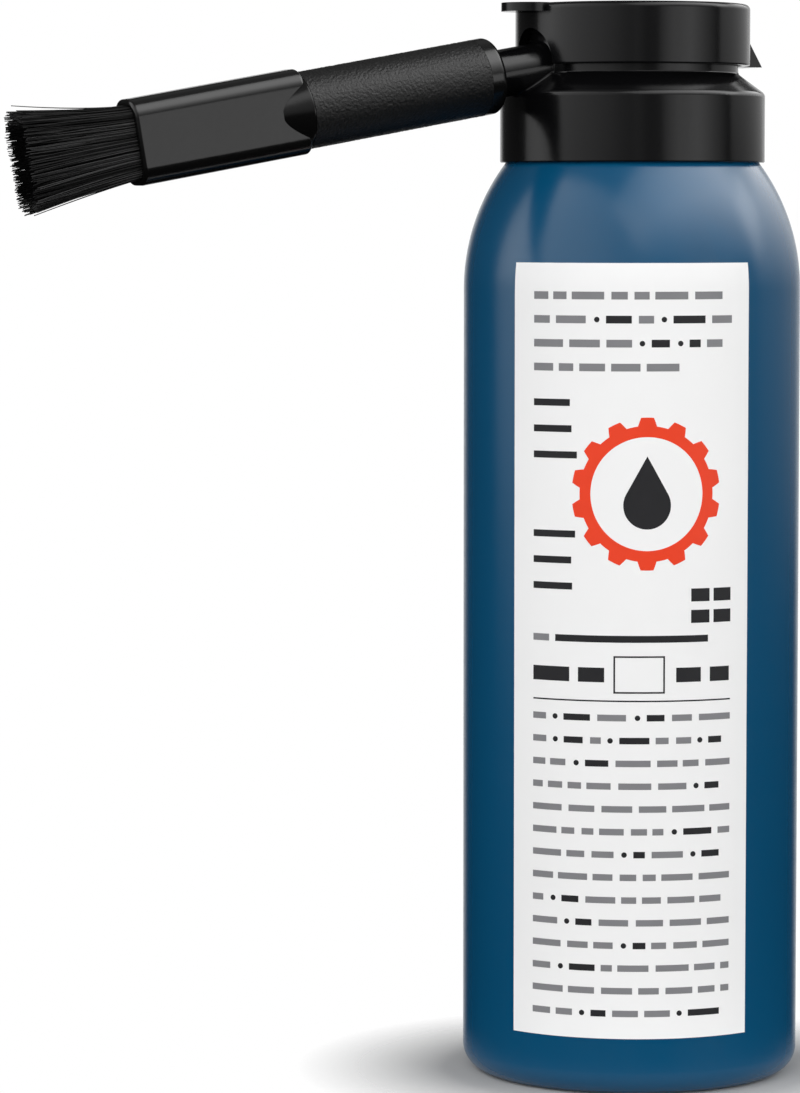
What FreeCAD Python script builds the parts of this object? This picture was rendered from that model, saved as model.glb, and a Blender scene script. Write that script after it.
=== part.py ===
import FreeCAD, Part
import math
import os
from FreeCAD import Placement, Rotation, Vector

# Chain lube bottle: a pressurised can with a push cap and a brush that is fed through its handle.
# Millimetres. Z runs up the can's axis from the surface it stands on, and the brush points along -X.

# Can
CAN_RADIUS = 22.5
CAN_WALL = 0.45
CAN_STRAIGHT_TOP = 105.4
BASE_FILLET = 3.4
BASE_RING_WIDTH = 0.8
DOME_RISE = 7.0
DOME_WALL = 1.0
SHOULDER_RADIUS = 28.0
BEAD_RADIUS = 1.5
NECK_LENGTH = 0.1

# Label on the can's wall
LABEL_THICKNESS = 0.1
LABEL_BOTTOM = 7.8
LABEL_ABOVE_WALL = 3.7
LABEL_HALF_ANGLE = 42.4
LABEL_AZIMUTH = 240.0

# Valve cup and its seal on the can's mouth
CUP_SHEET = 0.4
CUP_GASKET_THICKNESS = 0.3
CUP_GASKET_HALF_ANGLE = 65.0
CUP_LIP = 0.7
CUP_DEPTH = 6.0
CUP_BEND = 0.9
PEDESTAL_RADIUS = 6.2
PEDESTAL_BEND = 0.8
CLINCH_DEPTH = 0.7

# Valve
STEM_RADIUS = 2.0
STEM_BORE_RADIUS = 1.1
STEM_RISE = 4.0
STEM_HOLE_RADIUS = 0.3
STEM_FLANGE_GAP = 0.25
STEM_FLANGE_THICKNESS = 1.0
STEM_TAIL_RADIUS = 1.4
STEM_TAIL_LENGTH = 1.5
STEM_GASKET_THICKNESS = 1.2
HOUSING_HEAD_HEIGHT = 4.0
HOUSING_RADIUS = 4.2
HOUSING_LENGTH = 14.4
HOUSING_FLOOR = 1.6
HOUSING_BORE_RADIUS = 3.0
TAIL_RADIUS = 1.6
TAIL_BORE_RADIUS = 0.9
TAIL_LENGTH = 7.0
SPRING_WIRE_RADIUS = 0.3
SPRING_COIL_RADIUS = 2.2
SPRING_TURNS = 6.0
DIP_TUBE_WALL = 0.5
DIP_TUBE_GAP = 2.0

# Collar and its fixed spout
COLLAR_RADIUS = 17.68
COLLAR_WALL = 1.08
COLLAR_LIP = 0.57
COLLAR_ROOF = 1.2
COLLAR_EDGE_FILLET = 0.9
COLLAR_LIP_FILLET = 0.2
COLLAR_SNAP_HEIGHT = 0.7
COLLAR_SNAP_REACH = 0.45
CONE_RISE = 2.65
NECK_WALL = 1.2
NECK_ROOM = 0.5
NECK_BASE_FILLET = 0.4
NECK_LIP = 0.3
NECK_LIP_HEIGHT = 1.0
TOWER_WALL = 2.0
SPOUT_RISE = 3.4
SPOUT_SLOPE = 10.0
SPOUT_RADIUS = 3.15
SPOUT_BORE_RADIUS = 0.9
SPOUT_ENGAGEMENT = 8.1
SPOUT_ROOT_FILLET = 0.3

# Push cap
CAP_RADIUS = 15.65
CAP_WALL = 1.05
CAP_TOP = 1.3
CAP_HEIGHT = 8.1
CAP_GAP = 1.1
CAP_EDGE_FILLET = 0.7
CAP_RIM_FILLET = 0.2
CAP_SNAP_HEIGHT = 0.8
ARCH_RADIUS = 5.2
ARCH_SPREAD = 1.25
TAB_WIDTH = 8.8
TAB_REACH = 2.1
TAB_THICKNESS = 1.1
TAB_EDGE_FILLET = 0.3
WEDGE_WIDTH = 5.0
WEDGE_REACH = 3.05
WEDGE_HEIGHT = 5.1
CAP_SOCKET_DEPTH = 1.8

# Plunger under the cap and its seals
PLUNGER_RADIUS = 4.15
PLUNGER_STUB_RADIUS = 2.55
PLUNGER_SKIRT = 2.4
PLUNGER_GROOVE_DEPTH = 1.1
PLUNGER_GROOVE_HEIGHT = 2.0
SEAL_WIRE_RADIUS = 0.4
SEAL_EDGE = 0.35

# Brush on the spout
HANDLE_RADIUS = 5.05
HANDLE_GAP = 4.22
HANDLE_RING_LENGTH = 2.3
HANDLE_END_FILLET = 0.8
HANDLE_CHANNEL_RADIUS = 1.2
GRIP_LENGTH = 26.05
GRIP_THICKNESS = 0.6
NOSE_STEP = 0.12
NOSE_SHOULDER_LENGTH = 0.15
NOSE_SHOULDER_FILLET = 0.4
NOSE_CONE_LENGTH = 3.7
SPIGOT_LENGTH = 9.4
FERRULE_GAP = 0.15
FERRULE_LENGTH = 24.1
FERRULE_HALF_HEIGHT = 5.55
FERRULE_HALF_THICKNESS = 3.33
FERRULE_CORNER = 2.4
FERRULE_WALL = 0.75
FERRULE_EDGE_FILLET = 0.5
TUFT_ROOT_LENGTH = 9.0
TUFT_LENGTH = 15.0
TUFT_TIP_HALF_HEIGHT = 6.45
TUFT_TIP_HALF_THICKNESS = 3.0
TUFT_ROWS = 15
TUFT_COLUMNS = 7
TUFT_CELL_GAP = 0.06
TUFT_UNEVEN = 0.5

# Clearances
FIT = 0.05
SLIDE = 0.08
SNAP = 0.2

# Radii that follow from the sizes above: the collar snaps over the cup's curl, the cap over the neck
SHOULDER_CENTRE = CAN_RADIUS - SHOULDER_RADIUS
COLLAR_BORE = COLLAR_RADIUS - COLLAR_WALL
CURL_INNER = BEAD_RADIUS + CUP_GASKET_THICKNESS
CURL_OUTER = CURL_INNER + CUP_SHEET
BEAD_CENTRE = COLLAR_BORE - SNAP - CURL_OUTER
MOUTH_RADIUS = BEAD_CENTRE - BEAD_RADIUS
CUP_WALL_RADIUS = BEAD_CENTRE - CURL_INNER
STEM_FLANGE_RADIUS = HOUSING_BORE_RADIUS - STEM_FLANGE_GAP
LIP_BORE = COLLAR_RADIUS - COLLAR_LIP
CAP_BORE = CAP_RADIUS - CAP_WALL
NECK_RADIUS = CAP_BORE - NECK_LIP - SNAP
TAB_END = CAP_RADIUS + TAB_REACH


def shoulder_height(radius):
    """Height of the shoulder's outside at a distance from the axis."""
    return CAN_STRAIGHT_TOP + math.sqrt(SHOULDER_RADIUS ** 2 - (radius - SHOULDER_CENTRE) ** 2)


def shoulder_radius(height, grow=0.0):
    """Distance of the shoulder's outside from the axis at a height, with the arc grown outwards."""
    arc = SHOULDER_RADIUS + grow
    return SHOULDER_CENTRE + math.sqrt(arc ** 2 - (height - CAN_STRAIGHT_TOP) ** 2)


# Heights on the can's axis
NECK_OUTER = MOUTH_RADIUS + CAN_WALL
BEAD_Z = shoulder_height(NECK_OUTER) + NECK_LENGTH + BEAD_RADIUS
SEAT_Z = BEAD_Z + CURL_OUTER
PEDESTAL_Z = SEAT_Z - COLLAR_ROOF
STEM_GASKET_TOP = PEDESTAL_Z - CUP_SHEET
STEM_GASKET_BOTTOM = STEM_GASKET_TOP - STEM_GASKET_THICKNESS
HOUSING_HEAD_RADIUS = PEDESTAL_RADIUS - CUP_SHEET - FIT
STEM_FLANGE_TOP = STEM_GASKET_BOTTOM - FIT
STEM_FLANGE_BOTTOM = STEM_FLANGE_TOP - STEM_FLANGE_THICKNESS
STEM_TOP = PEDESTAL_Z + STEM_RISE
HOUSING_BOTTOM = STEM_GASKET_BOTTOM - HOUSING_LENGTH
SPRING_SEAT = HOUSING_BOTTOM + HOUSING_FLOOR
COLLAR_BOTTOM = shoulder_height(LIP_BORE - SNAP)
COLLAR_EDGE = SEAT_Z + COLLAR_ROOF
NECK_BASE = COLLAR_EDGE + CONE_RISE
SPOUT_Z = NECK_BASE + SPOUT_RISE
TOWER_BORE = PLUNGER_RADIUS + FIT
CAP_BOTTOM = NECK_BASE + CAP_GAP
CAP_Z = CAP_BOTTOM + CAP_HEIGHT
CAP_CEILING = CAP_Z - CAP_TOP
NECK_TOP = CAP_CEILING - CAP_GAP - NECK_ROOM
PLUNGER_TOP = CAP_CEILING - CAP_SOCKET_DEPTH
PLUNGER_BOTTOM = STEM_TOP - PLUNGER_SKIRT

# Distances along the spout from the can's axis
HANDLE_START = COLLAR_RADIUS + HANDLE_GAP
SPOUT_LENGTH = HANDLE_START + SPOUT_ENGAGEMENT
GRIP_START = HANDLE_START + HANDLE_RING_LENGTH
NOSE_START = GRIP_START + GRIP_LENGTH
FERRULE_START = NOSE_START + FERRULE_GAP
FERRULE_END = FERRULE_START + FERRULE_LENGTH
ON_SPOUT = Placement(Vector(0, 0, SPOUT_Z), Rotation(Vector(0, 1, 0), -90 - SPOUT_SLOPE))


def at(point):
    """A point of a turned profile: its distance from the axis and its height."""
    return Vector(point[0], 0, point[1])


def closed_face(start, steps):
    """Face of a profile: each step is an end point, or an arc's mid point and end point."""
    edges = []
    here = at(start)
    for step in steps:
        if isinstance(step[0], tuple):
            end = at(step[1])
            edges.append(Part.Arc(here, at(step[0]), end).toShape())
        else:
            end = at(step)
            edges.append(Part.makeLine(here, end))
        here = end
    edges.append(Part.makeLine(here, at(start)))
    return Part.Face(Part.Wire(edges))


def rounded_face(points):
    """Face of a polygon whose points may carry a third value, the radius of their corner."""
    steps = []
    count = len(points)
    for index, point in enumerate(points):
        corner = at(point)
        if len(point) == 2:
            steps.append((point,))
            continue
        before = (at(points[index - 1]) - corner).normalize()
        after = (at(points[(index + 1) % count]) - corner).normalize()
        half = before.getAngle(after) / 2
        reach = point[2] / math.tan(half)
        middle = corner + (before + after).normalize() * (point[2] / math.sin(half) - point[2])
        first = corner + before * reach
        last = corner + after * reach
        steps.append(((first.x, first.z), ((middle.x, middle.z), (last.x, last.z))))
    flat = [step for group in steps for step in group]
    return closed_face(flat[0], flat[1:])


def turned(face, degrees=360.0):
    """Solid made by turning a profile about the Z axis."""
    return face.revolve(Vector(0, 0, 0), Vector(0, 0, 1), degrees)


def rod(radius, low, high):
    """Upright cylinder on the axis between two heights."""
    return Part.makeCylinder(radius, high - low, Vector(0, 0, low))


def ring(inner, outer, low, high):
    """Upright ring on the axis between two heights."""
    return rod(outer, low, high).cut(rod(inner, low, high))


def block(low, high):
    """Box between two corners."""
    size = Vector(*high) - Vector(*low)
    return Part.makeBox(size.x, size.y, size.z, Vector(*low))


def flat_bar(half_height, half_thickness, corner, low, high):
    """Bar along the brush with a rounded oblong section: X is its height and Y its thickness."""
    bar = block((-half_height, -half_thickness, low), (half_height, half_thickness, high))
    along = [edge for edge in bar.Edges if abs(edge.Vertexes[0].Z - edge.Vertexes[1].Z) > FIT]
    return bar.makeFillet(corner, along)


def arc_point(angle, radius, centre):
    """Point on a circle of a profile, with the angle in degrees from straight up, outwards positive."""
    turn = math.radians(angle)
    return (centre[0] + radius * math.sin(turn), centre[1] + radius * math.cos(turn))


def can_body():
    """Drawn can: wall, round shoulder and solid rolled bead, with a base that is domed inwards."""
    shoulder_end = shoulder_height(NECK_OUTER)
    sweep = math.acos((NECK_OUTER - SHOULDER_CENTRE) / SHOULDER_RADIUS) / 2
    fillet_turn = math.sqrt(0.5)

    def contour(inset):
        wall = CAN_RADIUS - inset
        arc = SHOULDER_RADIUS - inset
        fillet = BASE_FILLET - inset
        foot = CAN_RADIUS - BASE_FILLET
        top_z = CAN_STRAIGHT_TOP + arc * math.sin(2 * sweep)
        top_r = SHOULDER_CENTRE + arc * math.cos(2 * sweep)
        middle = (SHOULDER_CENTRE + arc * math.cos(sweep), CAN_STRAIGHT_TOP + arc * math.sin(sweep))
        fillet_middle = (foot + fillet * fillet_turn, BASE_FILLET - fillet * fillet_turn)
        steps = [
            (foot, inset),
            (fillet_middle, (wall, BASE_FILLET)),
            (wall, CAN_STRAIGHT_TOP),
            (middle, (top_r, top_z)),
            (0, top_z),
        ]
        return turned(closed_face((0, inset), steps))

    ring_inner = CAN_RADIUS - BASE_FILLET - BASE_RING_WIDTH
    dome_radius = (ring_inner ** 2 + DOME_RISE ** 2) / (2 * DOME_RISE)
    dome_centre = Vector(0, 0, DOME_RISE - dome_radius)
    dome = Part.makeSphere(dome_radius, dome_centre)
    dome_top = Part.makeSphere(dome_radius + DOME_WALL, dome_centre)
    neck = rod(NECK_OUTER, CAN_STRAIGHT_TOP, BEAD_Z)
    bead = Part.makeTorus(BEAD_CENTRE, BEAD_RADIUS, Vector(0, 0, BEAD_Z))
    mouth = rod(MOUTH_RADIUS, shoulder_end - CAN_RADIUS, BEAD_Z + BEAD_RADIUS)
    shell = contour(0).fuse([neck, bead]).cut(dome)
    return shell.cut(contour(CAN_WALL).cut(dome_top)).cut(mouth)


def label():
    """Film on the wall and the start of the shoulder, across the side away from the brush."""
    outside = CAN_RADIUS + LABEL_THICKNESS
    top = CAN_STRAIGHT_TOP + LABEL_ABOVE_WALL
    middle = CAN_STRAIGHT_TOP + LABEL_ABOVE_WALL / 2
    steps = [
        (CAN_RADIUS, CAN_STRAIGHT_TOP),
        ((shoulder_radius(middle), middle), (shoulder_radius(top), top)),
        (shoulder_radius(top, LABEL_THICKNESS), top),
        ((shoulder_radius(middle, LABEL_THICKNESS), middle), (outside, CAN_STRAIGHT_TOP)),
        (outside, LABEL_BOTTOM),
    ]
    film = turned(closed_face((CAN_RADIUS, LABEL_BOTTOM), steps), 2 * LABEL_HALF_ANGLE)
    film.rotate(Vector(0, 0, 0), Vector(0, 0, 1), LABEL_AZIMUTH - LABEL_HALF_ANGLE)
    return film


def valve_cup():
    """Pressed sheet cup: curl over the can's bead, clinched wall, floor and pedestal."""
    centre = (BEAD_CENTRE, BEAD_Z)
    wall = CUP_WALL_RADIUS
    floor = BEAD_Z - CUP_DEPTH
    curl = turned(closed_face((BEAD_CENTRE + CURL_INNER, BEAD_Z - CUP_LIP), [
        (BEAD_CENTRE + CURL_OUTER, BEAD_Z - CUP_LIP),
        (BEAD_CENTRE + CURL_OUTER, BEAD_Z),
        (arc_point(0, CURL_OUTER, centre), (BEAD_CENTRE - CURL_OUTER, BEAD_Z)),
        (wall, BEAD_Z),
        (arc_point(0, CURL_INNER, centre), (BEAD_CENTRE + CURL_INNER, BEAD_Z)),
    ]))
    clinch = (BEAD_Z - CUP_DEPTH / 2, CLINCH_DEPTH)
    bowl = turned(rounded_face([
        (PEDESTAL_RADIUS - CUP_SHEET, floor - CUP_SHEET),
        (wall, floor - CUP_SHEET, CUP_BEND + CUP_SHEET),
        (wall, BEAD_Z),
        (wall - CUP_SHEET, BEAD_Z),
        (wall - CUP_SHEET, floor, CUP_BEND),
        (PEDESTAL_RADIUS, floor),
        (PEDESTAL_RADIUS, PEDESTAL_Z, PEDESTAL_BEND),
        (STEM_RADIUS + SLIDE, PEDESTAL_Z),
        (STEM_RADIUS + SLIDE, STEM_GASKET_TOP),
        (PEDESTAL_RADIUS - CUP_SHEET, STEM_GASKET_TOP, PEDESTAL_BEND - CUP_SHEET),
    ]))
    bulge = Part.makeTorus(wall - CUP_SHEET, clinch[1] + CUP_SHEET, Vector(0, 0, clinch[0]))
    hollow = Part.makeTorus(wall - CUP_SHEET, clinch[1], Vector(0, 0, clinch[0]))
    inside = rod(wall - CUP_SHEET, floor, BEAD_Z)
    return curl.fuse([bowl, bulge.cut(inside)]).cut(hollow)


def cup_gasket():
    """Flowed-in lining between the cup's curl and the top of the can's bead."""
    centre = (BEAD_CENTRE, BEAD_Z)
    outer = CURL_INNER - FIT
    inner = BEAD_RADIUS + FIT
    side = CUP_GASKET_HALF_ANGLE
    return turned(closed_face(arc_point(-side, outer, centre), [
        (arc_point(0, outer, centre), arc_point(side, outer, centre)),
        arc_point(side, inner, centre),
        (arc_point(0, inner, centre), arc_point(-side, inner, centre)),
    ]))


def valve_housing():
    """Moulded cup for stem and spring, with a tail for the dip tube."""
    body = turned(closed_face((TAIL_BORE_RADIUS, HOUSING_BOTTOM - TAIL_LENGTH), [
        (TAIL_RADIUS, HOUSING_BOTTOM - TAIL_LENGTH),
        (TAIL_RADIUS, HOUSING_BOTTOM),
        (HOUSING_RADIUS, HOUSING_BOTTOM),
        (HOUSING_RADIUS, STEM_GASKET_BOTTOM - HOUSING_HEAD_HEIGHT),
        (HOUSING_HEAD_RADIUS, STEM_GASKET_BOTTOM - HOUSING_HEAD_HEIGHT),
        (HOUSING_HEAD_RADIUS, STEM_GASKET_BOTTOM),
        (HOUSING_BORE_RADIUS, STEM_GASKET_BOTTOM),
        (HOUSING_BORE_RADIUS, SPRING_SEAT),
        (TAIL_BORE_RADIUS, SPRING_SEAT),
    ]))
    return body


def stem_gasket():
    """Flat ring clamped between the housing and the pedestal's top."""
    outer = HOUSING_HEAD_RADIUS - PEDESTAL_BEND + CUP_SHEET
    return ring(STEM_RADIUS + FIT, outer, STEM_GASKET_BOTTOM, STEM_GASKET_TOP)


def valve_stem():
    """Hollow stem with a flange under its gasket and a side hole that the press opens."""
    stem = rod(STEM_RADIUS, STEM_FLANGE_TOP, STEM_TOP)
    flange = rod(STEM_FLANGE_RADIUS, STEM_FLANGE_BOTTOM, STEM_FLANGE_TOP)
    tail = rod(STEM_TAIL_RADIUS, STEM_FLANGE_BOTTOM - STEM_TAIL_LENGTH, STEM_FLANGE_BOTTOM)
    hole_z = (STEM_GASKET_BOTTOM + STEM_GASKET_TOP) / 2
    bore = rod(STEM_BORE_RADIUS, hole_z - STEM_HOLE_RADIUS, STEM_TOP)
    hole = Part.makeCylinder(STEM_HOLE_RADIUS, STEM_RADIUS, Vector(0, 0, hole_z), Vector(1, 0, 0))
    return stem.fuse([flange, tail]).cut(bore.fuse(hole))


def valve_spring():
    """Round-wire helix between the housing's floor and the stem's flange."""
    low = SPRING_SEAT + SPRING_WIRE_RADIUS
    high = STEM_FLANGE_BOTTOM - SPRING_WIRE_RADIUS
    helix = Part.makeHelix((high - low) / SPRING_TURNS, high - low, SPRING_COIL_RADIUS)
    circle = Part.makeCircle(SPRING_WIRE_RADIUS, Vector(SPRING_COIL_RADIUS, 0, 0), Vector(0, 1, 0))
    wire = Part.Wire(helix.Edges).makePipeShell([Part.Wire(circle)], True, True)
    wire.translate(Vector(0, 0, low))
    return wire


def dip_tube():
    """Tube on the housing's tail, down to just above the domed base."""
    bottom = DOME_RISE + DOME_WALL + DIP_TUBE_GAP
    return ring(TAIL_RADIUS, TAIL_RADIUS + DIP_TUBE_WALL, bottom, HOUSING_BOTTOM)


def collar():
    """Moulded head: skirt, cone and neck round a central tower, with the spout through the neck."""
    snap_top = BEAD_Z - CUP_LIP - FIT
    snap_middle = snap_top - COLLAR_SNAP_HEIGHT / 2
    lead_top = COLLAR_BOTTOM + LIP_BORE - COLLAR_BORE + SNAP
    tower = TOWER_BORE + TOWER_WALL
    shell = turned(rounded_face([
        (COLLAR_RADIUS, COLLAR_BOTTOM, COLLAR_LIP_FILLET),
        (COLLAR_RADIUS, COLLAR_EDGE, COLLAR_EDGE_FILLET),
        (NECK_RADIUS, NECK_BASE, NECK_BASE_FILLET),
        (NECK_RADIUS, NECK_TOP - NECK_LIP_HEIGHT),
        (NECK_RADIUS + NECK_LIP, NECK_TOP - NECK_LIP_HEIGHT),
        (NECK_RADIUS + NECK_LIP, NECK_TOP - NECK_LIP_HEIGHT / 2),
        (NECK_RADIUS, NECK_TOP),
        (NECK_RADIUS - NECK_WALL, NECK_TOP),
        (NECK_RADIUS - NECK_WALL, COLLAR_EDGE),
        (tower, COLLAR_EDGE),
        (tower, NECK_TOP),
        (TOWER_BORE, NECK_TOP),
        (TOWER_BORE, SEAT_Z),
        (COLLAR_BORE, SEAT_Z),
        (COLLAR_BORE, snap_top),
        (COLLAR_BORE - COLLAR_SNAP_REACH, snap_middle),
        (COLLAR_BORE, snap_top - COLLAR_SNAP_HEIGHT),
        (COLLAR_BORE, lead_top),
        (LIP_BORE, COLLAR_BOTTOM),
    ]))
    spout = rod(SPOUT_RADIUS, TOWER_BORE + TOWER_WALL / 2, SPOUT_LENGTH)
    bore = rod(SPOUT_BORE_RADIUS, 0, SPOUT_LENGTH)
    spout.Placement = ON_SPOUT
    bore.Placement = ON_SPOUT
    head = shell.fuse(spout)
    return head.makeFillet(SPOUT_ROOT_FILLET, spout_root(head)).cut(bore)


def spout_root(head):
    """Edges where the spout leaves the neck and the cone."""
    edges = []
    for edge in head.Edges:
        faces = head.ancestorsOfType(edge, Part.Face)
        on_spout = any(getattr(face.Surface, "Radius", 0) == SPOUT_RADIUS for face in faces)
        box = edge.BoundBox
        if on_spout and box.XMin < FIT - NECK_RADIUS and box.XMin > -COLLAR_RADIUS - FIT:
            edges.append(edge)
    return edges


def push_cap():
    """Cap that slides on the neck: thumb tab, rear wedge, arch round the spout, socket for the plunger."""
    snap_top = NECK_TOP - NECK_LIP_HEIGHT - SNAP
    snap_bore = NECK_RADIUS + SLIDE
    socket = PLUNGER_STUB_RADIUS + FIT
    shell = turned(rounded_face([
        (CAP_RADIUS, CAP_BOTTOM, CAP_RIM_FILLET),
        (CAP_RADIUS, CAP_Z, CAP_EDGE_FILLET),
        (0, CAP_Z),
        (0, CAP_CEILING),
        (socket, CAP_CEILING),
        (socket, PLUNGER_TOP),
        (PLUNGER_RADIUS, PLUNGER_TOP),
        (PLUNGER_RADIUS, CAP_CEILING),
        (CAP_BORE, CAP_CEILING),
        (CAP_BORE, snap_top),
        (snap_bore, snap_top),
        (snap_bore, snap_top - CAP_SNAP_HEIGHT / 2),
        (CAP_BORE, snap_top - CAP_SNAP_HEIGHT),
        (CAP_BORE, CAP_BOTTOM),
    ]))
    tab_base = Vector(TAB_WIDTH / 2 - TAB_END, 0, CAP_Z - TAB_THICKNESS)
    tab = Part.makeCylinder(TAB_WIDTH / 2, TAB_THICKNESS, tab_base)
    tab = tab.makeFillet(TAB_EDGE_FILLET, [e for e in tab.Edges if e.BoundBox.ZLength < FIT])
    side = Part.makePolygon([
        Vector(CAP_BORE, -WEDGE_WIDTH / 2, CAP_BOTTOM),
        Vector(CAP_RADIUS + WEDGE_REACH, -WEDGE_WIDTH / 2, CAP_BOTTOM),
        Vector(CAP_RADIUS, -WEDGE_WIDTH / 2, CAP_BOTTOM + WEDGE_HEIGHT),
        Vector(CAP_BORE, -WEDGE_WIDTH / 2, CAP_BOTTOM + WEDGE_HEIGHT),
        Vector(CAP_BORE, -WEDGE_WIDTH / 2, CAP_BOTTOM),
    ])
    wedge = Part.Face(side).extrude(Vector(0, WEDGE_WIDTH, 0)).cut(rod(CAP_BORE, CAP_BOTTOM, CAP_Z))
    return shell.fuse([tab, wedge]).cut(cap_arch())


def cap_arch():
    """Wide slot with round sides along the spout, by which the cap clears it."""
    low = NECK_RADIUS - NECK_WALL
    high = TAB_END + ARCH_RADIUS
    middle = block((-ARCH_RADIUS, -ARCH_SPREAD, low), (ARCH_RADIUS, ARCH_SPREAD, high))
    sides = [rod(ARCH_RADIUS, low, high).translated(Vector(0, y, 0)) for y in (-ARCH_SPREAD, ARCH_SPREAD)]
    arch = middle.fuse(sides).removeSplitter()
    arch.Placement = ON_SPOUT
    return arch


def plunger():
    """Piston on the stem: a groove and cross holes lead the liquid to the spout's bore."""
    groove_middle = SPOUT_Z - TOWER_BORE * math.tan(math.radians(SPOUT_SLOPE)) + CAP_GAP / 2
    groove = PLUNGER_RADIUS - PLUNGER_GROOVE_DEPTH
    body = rod(PLUNGER_RADIUS, PLUNGER_BOTTOM, PLUNGER_TOP)
    stub = rod(PLUNGER_STUB_RADIUS, PLUNGER_TOP, CAP_CEILING - FIT)
    half = PLUNGER_GROOVE_HEIGHT / 2
    channel = ring(groove, CAP_RADIUS, groove_middle - half, groove_middle + half)
    riser = rod(STEM_BORE_RADIUS, STEM_TOP, groove_middle + STEM_BORE_RADIUS)
    socket = rod(STEM_RADIUS + FIT, PLUNGER_BOTTOM, STEM_TOP)
    cross = Part.makeCylinder(
        SPOUT_BORE_RADIUS, 2 * PLUNGER_RADIUS, Vector(-PLUNGER_RADIUS, 0, groove_middle), Vector(1, 0, 0))
    cuts = [channel, riser, socket, cross]
    for height in seal_heights():
        room = SEAL_WIRE_RADIUS + FIT
        floor = PLUNGER_RADIUS - 2 * SEAL_WIRE_RADIUS - FIT
        cuts.append(ring(floor, CAP_RADIUS, height - room, height + room))
    return body.fuse(stub).cut(cuts[0].fuse(cuts[1:]))


def seal_heights():
    """Heights of the plunger's upper and lower seal."""
    room = SEAL_EDGE + SEAL_WIRE_RADIUS
    lower = STEM_TOP + room
    return (PLUNGER_TOP - room, lower)


def plunger_seal(height):
    """Round ring in one of the plunger's grooves."""
    return Part.makeTorus(PLUNGER_RADIUS - SEAL_WIRE_RADIUS - FIT / 2, SEAL_WIRE_RADIUS, Vector(0, 0, height))


def nose(grow):
    """Shoulder and cone that lead from the handle to the ferrule's flats, grown by a clearance."""
    shoulder = HANDLE_RADIUS - NOSE_STEP + grow
    cone_start = NOSE_START + NOSE_SHOULDER_LENGTH
    cone_end = cone_start + NOSE_CONE_LENGTH
    return turned(rounded_face([
        (0, NOSE_START),
        (shoulder, NOSE_START),
        (shoulder, cone_start, NOSE_SHOULDER_FILLET + grow),
        (FERRULE_HALF_THICKNESS + grow, cone_end),
        (0, cone_end),
    ]))


def brush_handle():
    """Hollow handle along the spout: end ring, recessed shaft for the grip, nose and flat spigot."""
    core = HANDLE_RADIUS - GRIP_THICKNESS - FIT
    ring_body = turned(rounded_face([
        (SPOUT_RADIUS + FIT, HANDLE_START),
        (HANDLE_RADIUS, HANDLE_START, HANDLE_END_FILLET),
        (HANDLE_RADIUS, GRIP_START),
        (core, GRIP_START),
        (core, NOSE_START),
        (HANDLE_CHANNEL_RADIUS, NOSE_START),
        (HANDLE_CHANNEL_RADIUS, SPOUT_LENGTH + FIT),
        (SPOUT_RADIUS + FIT, SPOUT_LENGTH + FIT),
    ]))
    spigot = flat_bar(
        FERRULE_HALF_HEIGHT - FERRULE_WALL - FIT,
        FERRULE_HALF_THICKNESS - FERRULE_WALL - FIT,
        FERRULE_CORNER - FERRULE_WALL - FIT,
        NOSE_START,
        NOSE_START + SPIGOT_LENGTH)
    channel = rod(HANDLE_CHANNEL_RADIUS, NOSE_START, NOSE_START + SPIGOT_LENGTH)
    return ring_body.fuse([nose(0).cut(channel), spigot.cut(channel)])


def brush_grip():
    """Grained sleeve that lies flush between the end ring and the nose."""
    return ring(HANDLE_RADIUS - GRIP_THICKNESS, HANDLE_RADIUS, GRIP_START, NOSE_START)


def brush_ferrule():
    """Flat sleeve: it slips over the spigot and is scalloped round the handle's nose."""
    bar = flat_bar(FERRULE_HALF_HEIGHT, FERRULE_HALF_THICKNESS, FERRULE_CORNER, FERRULE_START, FERRULE_END)
    ends = [edge for edge in bar.Edges if edge.BoundBox.ZLength < FIT]
    bar = bar.makeFillet(FERRULE_EDGE_FILLET, ends)
    cavity = flat_bar(
        FERRULE_HALF_HEIGHT - FERRULE_WALL,
        FERRULE_HALF_THICKNESS - FERRULE_WALL,
        FERRULE_CORNER - FERRULE_WALL,
        FERRULE_START,
        FERRULE_END)
    return bar.cut(cavity).cut(nose(FIT))


def bristle_tuft():
    """Bristles in bundles that fan out from a root block, with slightly uneven tips."""
    half_height = FERRULE_HALF_HEIGHT - FERRULE_WALL - FIT
    half_thickness = FERRULE_HALF_THICKNESS - FERRULE_WALL - FIT
    corner = FERRULE_CORNER - FERRULE_WALL - FIT
    root = flat_bar(half_height, half_thickness, corner, FERRULE_END - TUFT_ROOT_LENGTH, FERRULE_END)
    bundles = []
    for row in range(TUFT_ROWS):
        for column in range(TUFT_COLUMNS):
            place = (row - (TUFT_ROWS - 1) / 2, column - (TUFT_COLUMNS - 1) / 2)
            if outside_corner(place, half_height, half_thickness, corner):
                continue
            bundles.append(bundle(place, half_height, half_thickness))
    return root.fuse(bundles)


def outside_corner(place, half_height, half_thickness, corner):
    """True where a bundle's middle lies outside the root block's rounded corner."""
    across = abs(place[0]) * 2 * half_height / TUFT_ROWS - (half_height - corner)
    along = abs(place[1]) * 2 * half_thickness / TUFT_COLUMNS - (half_thickness - corner)
    return across > 0 and along > 0 and math.hypot(across, along) > corner


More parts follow.
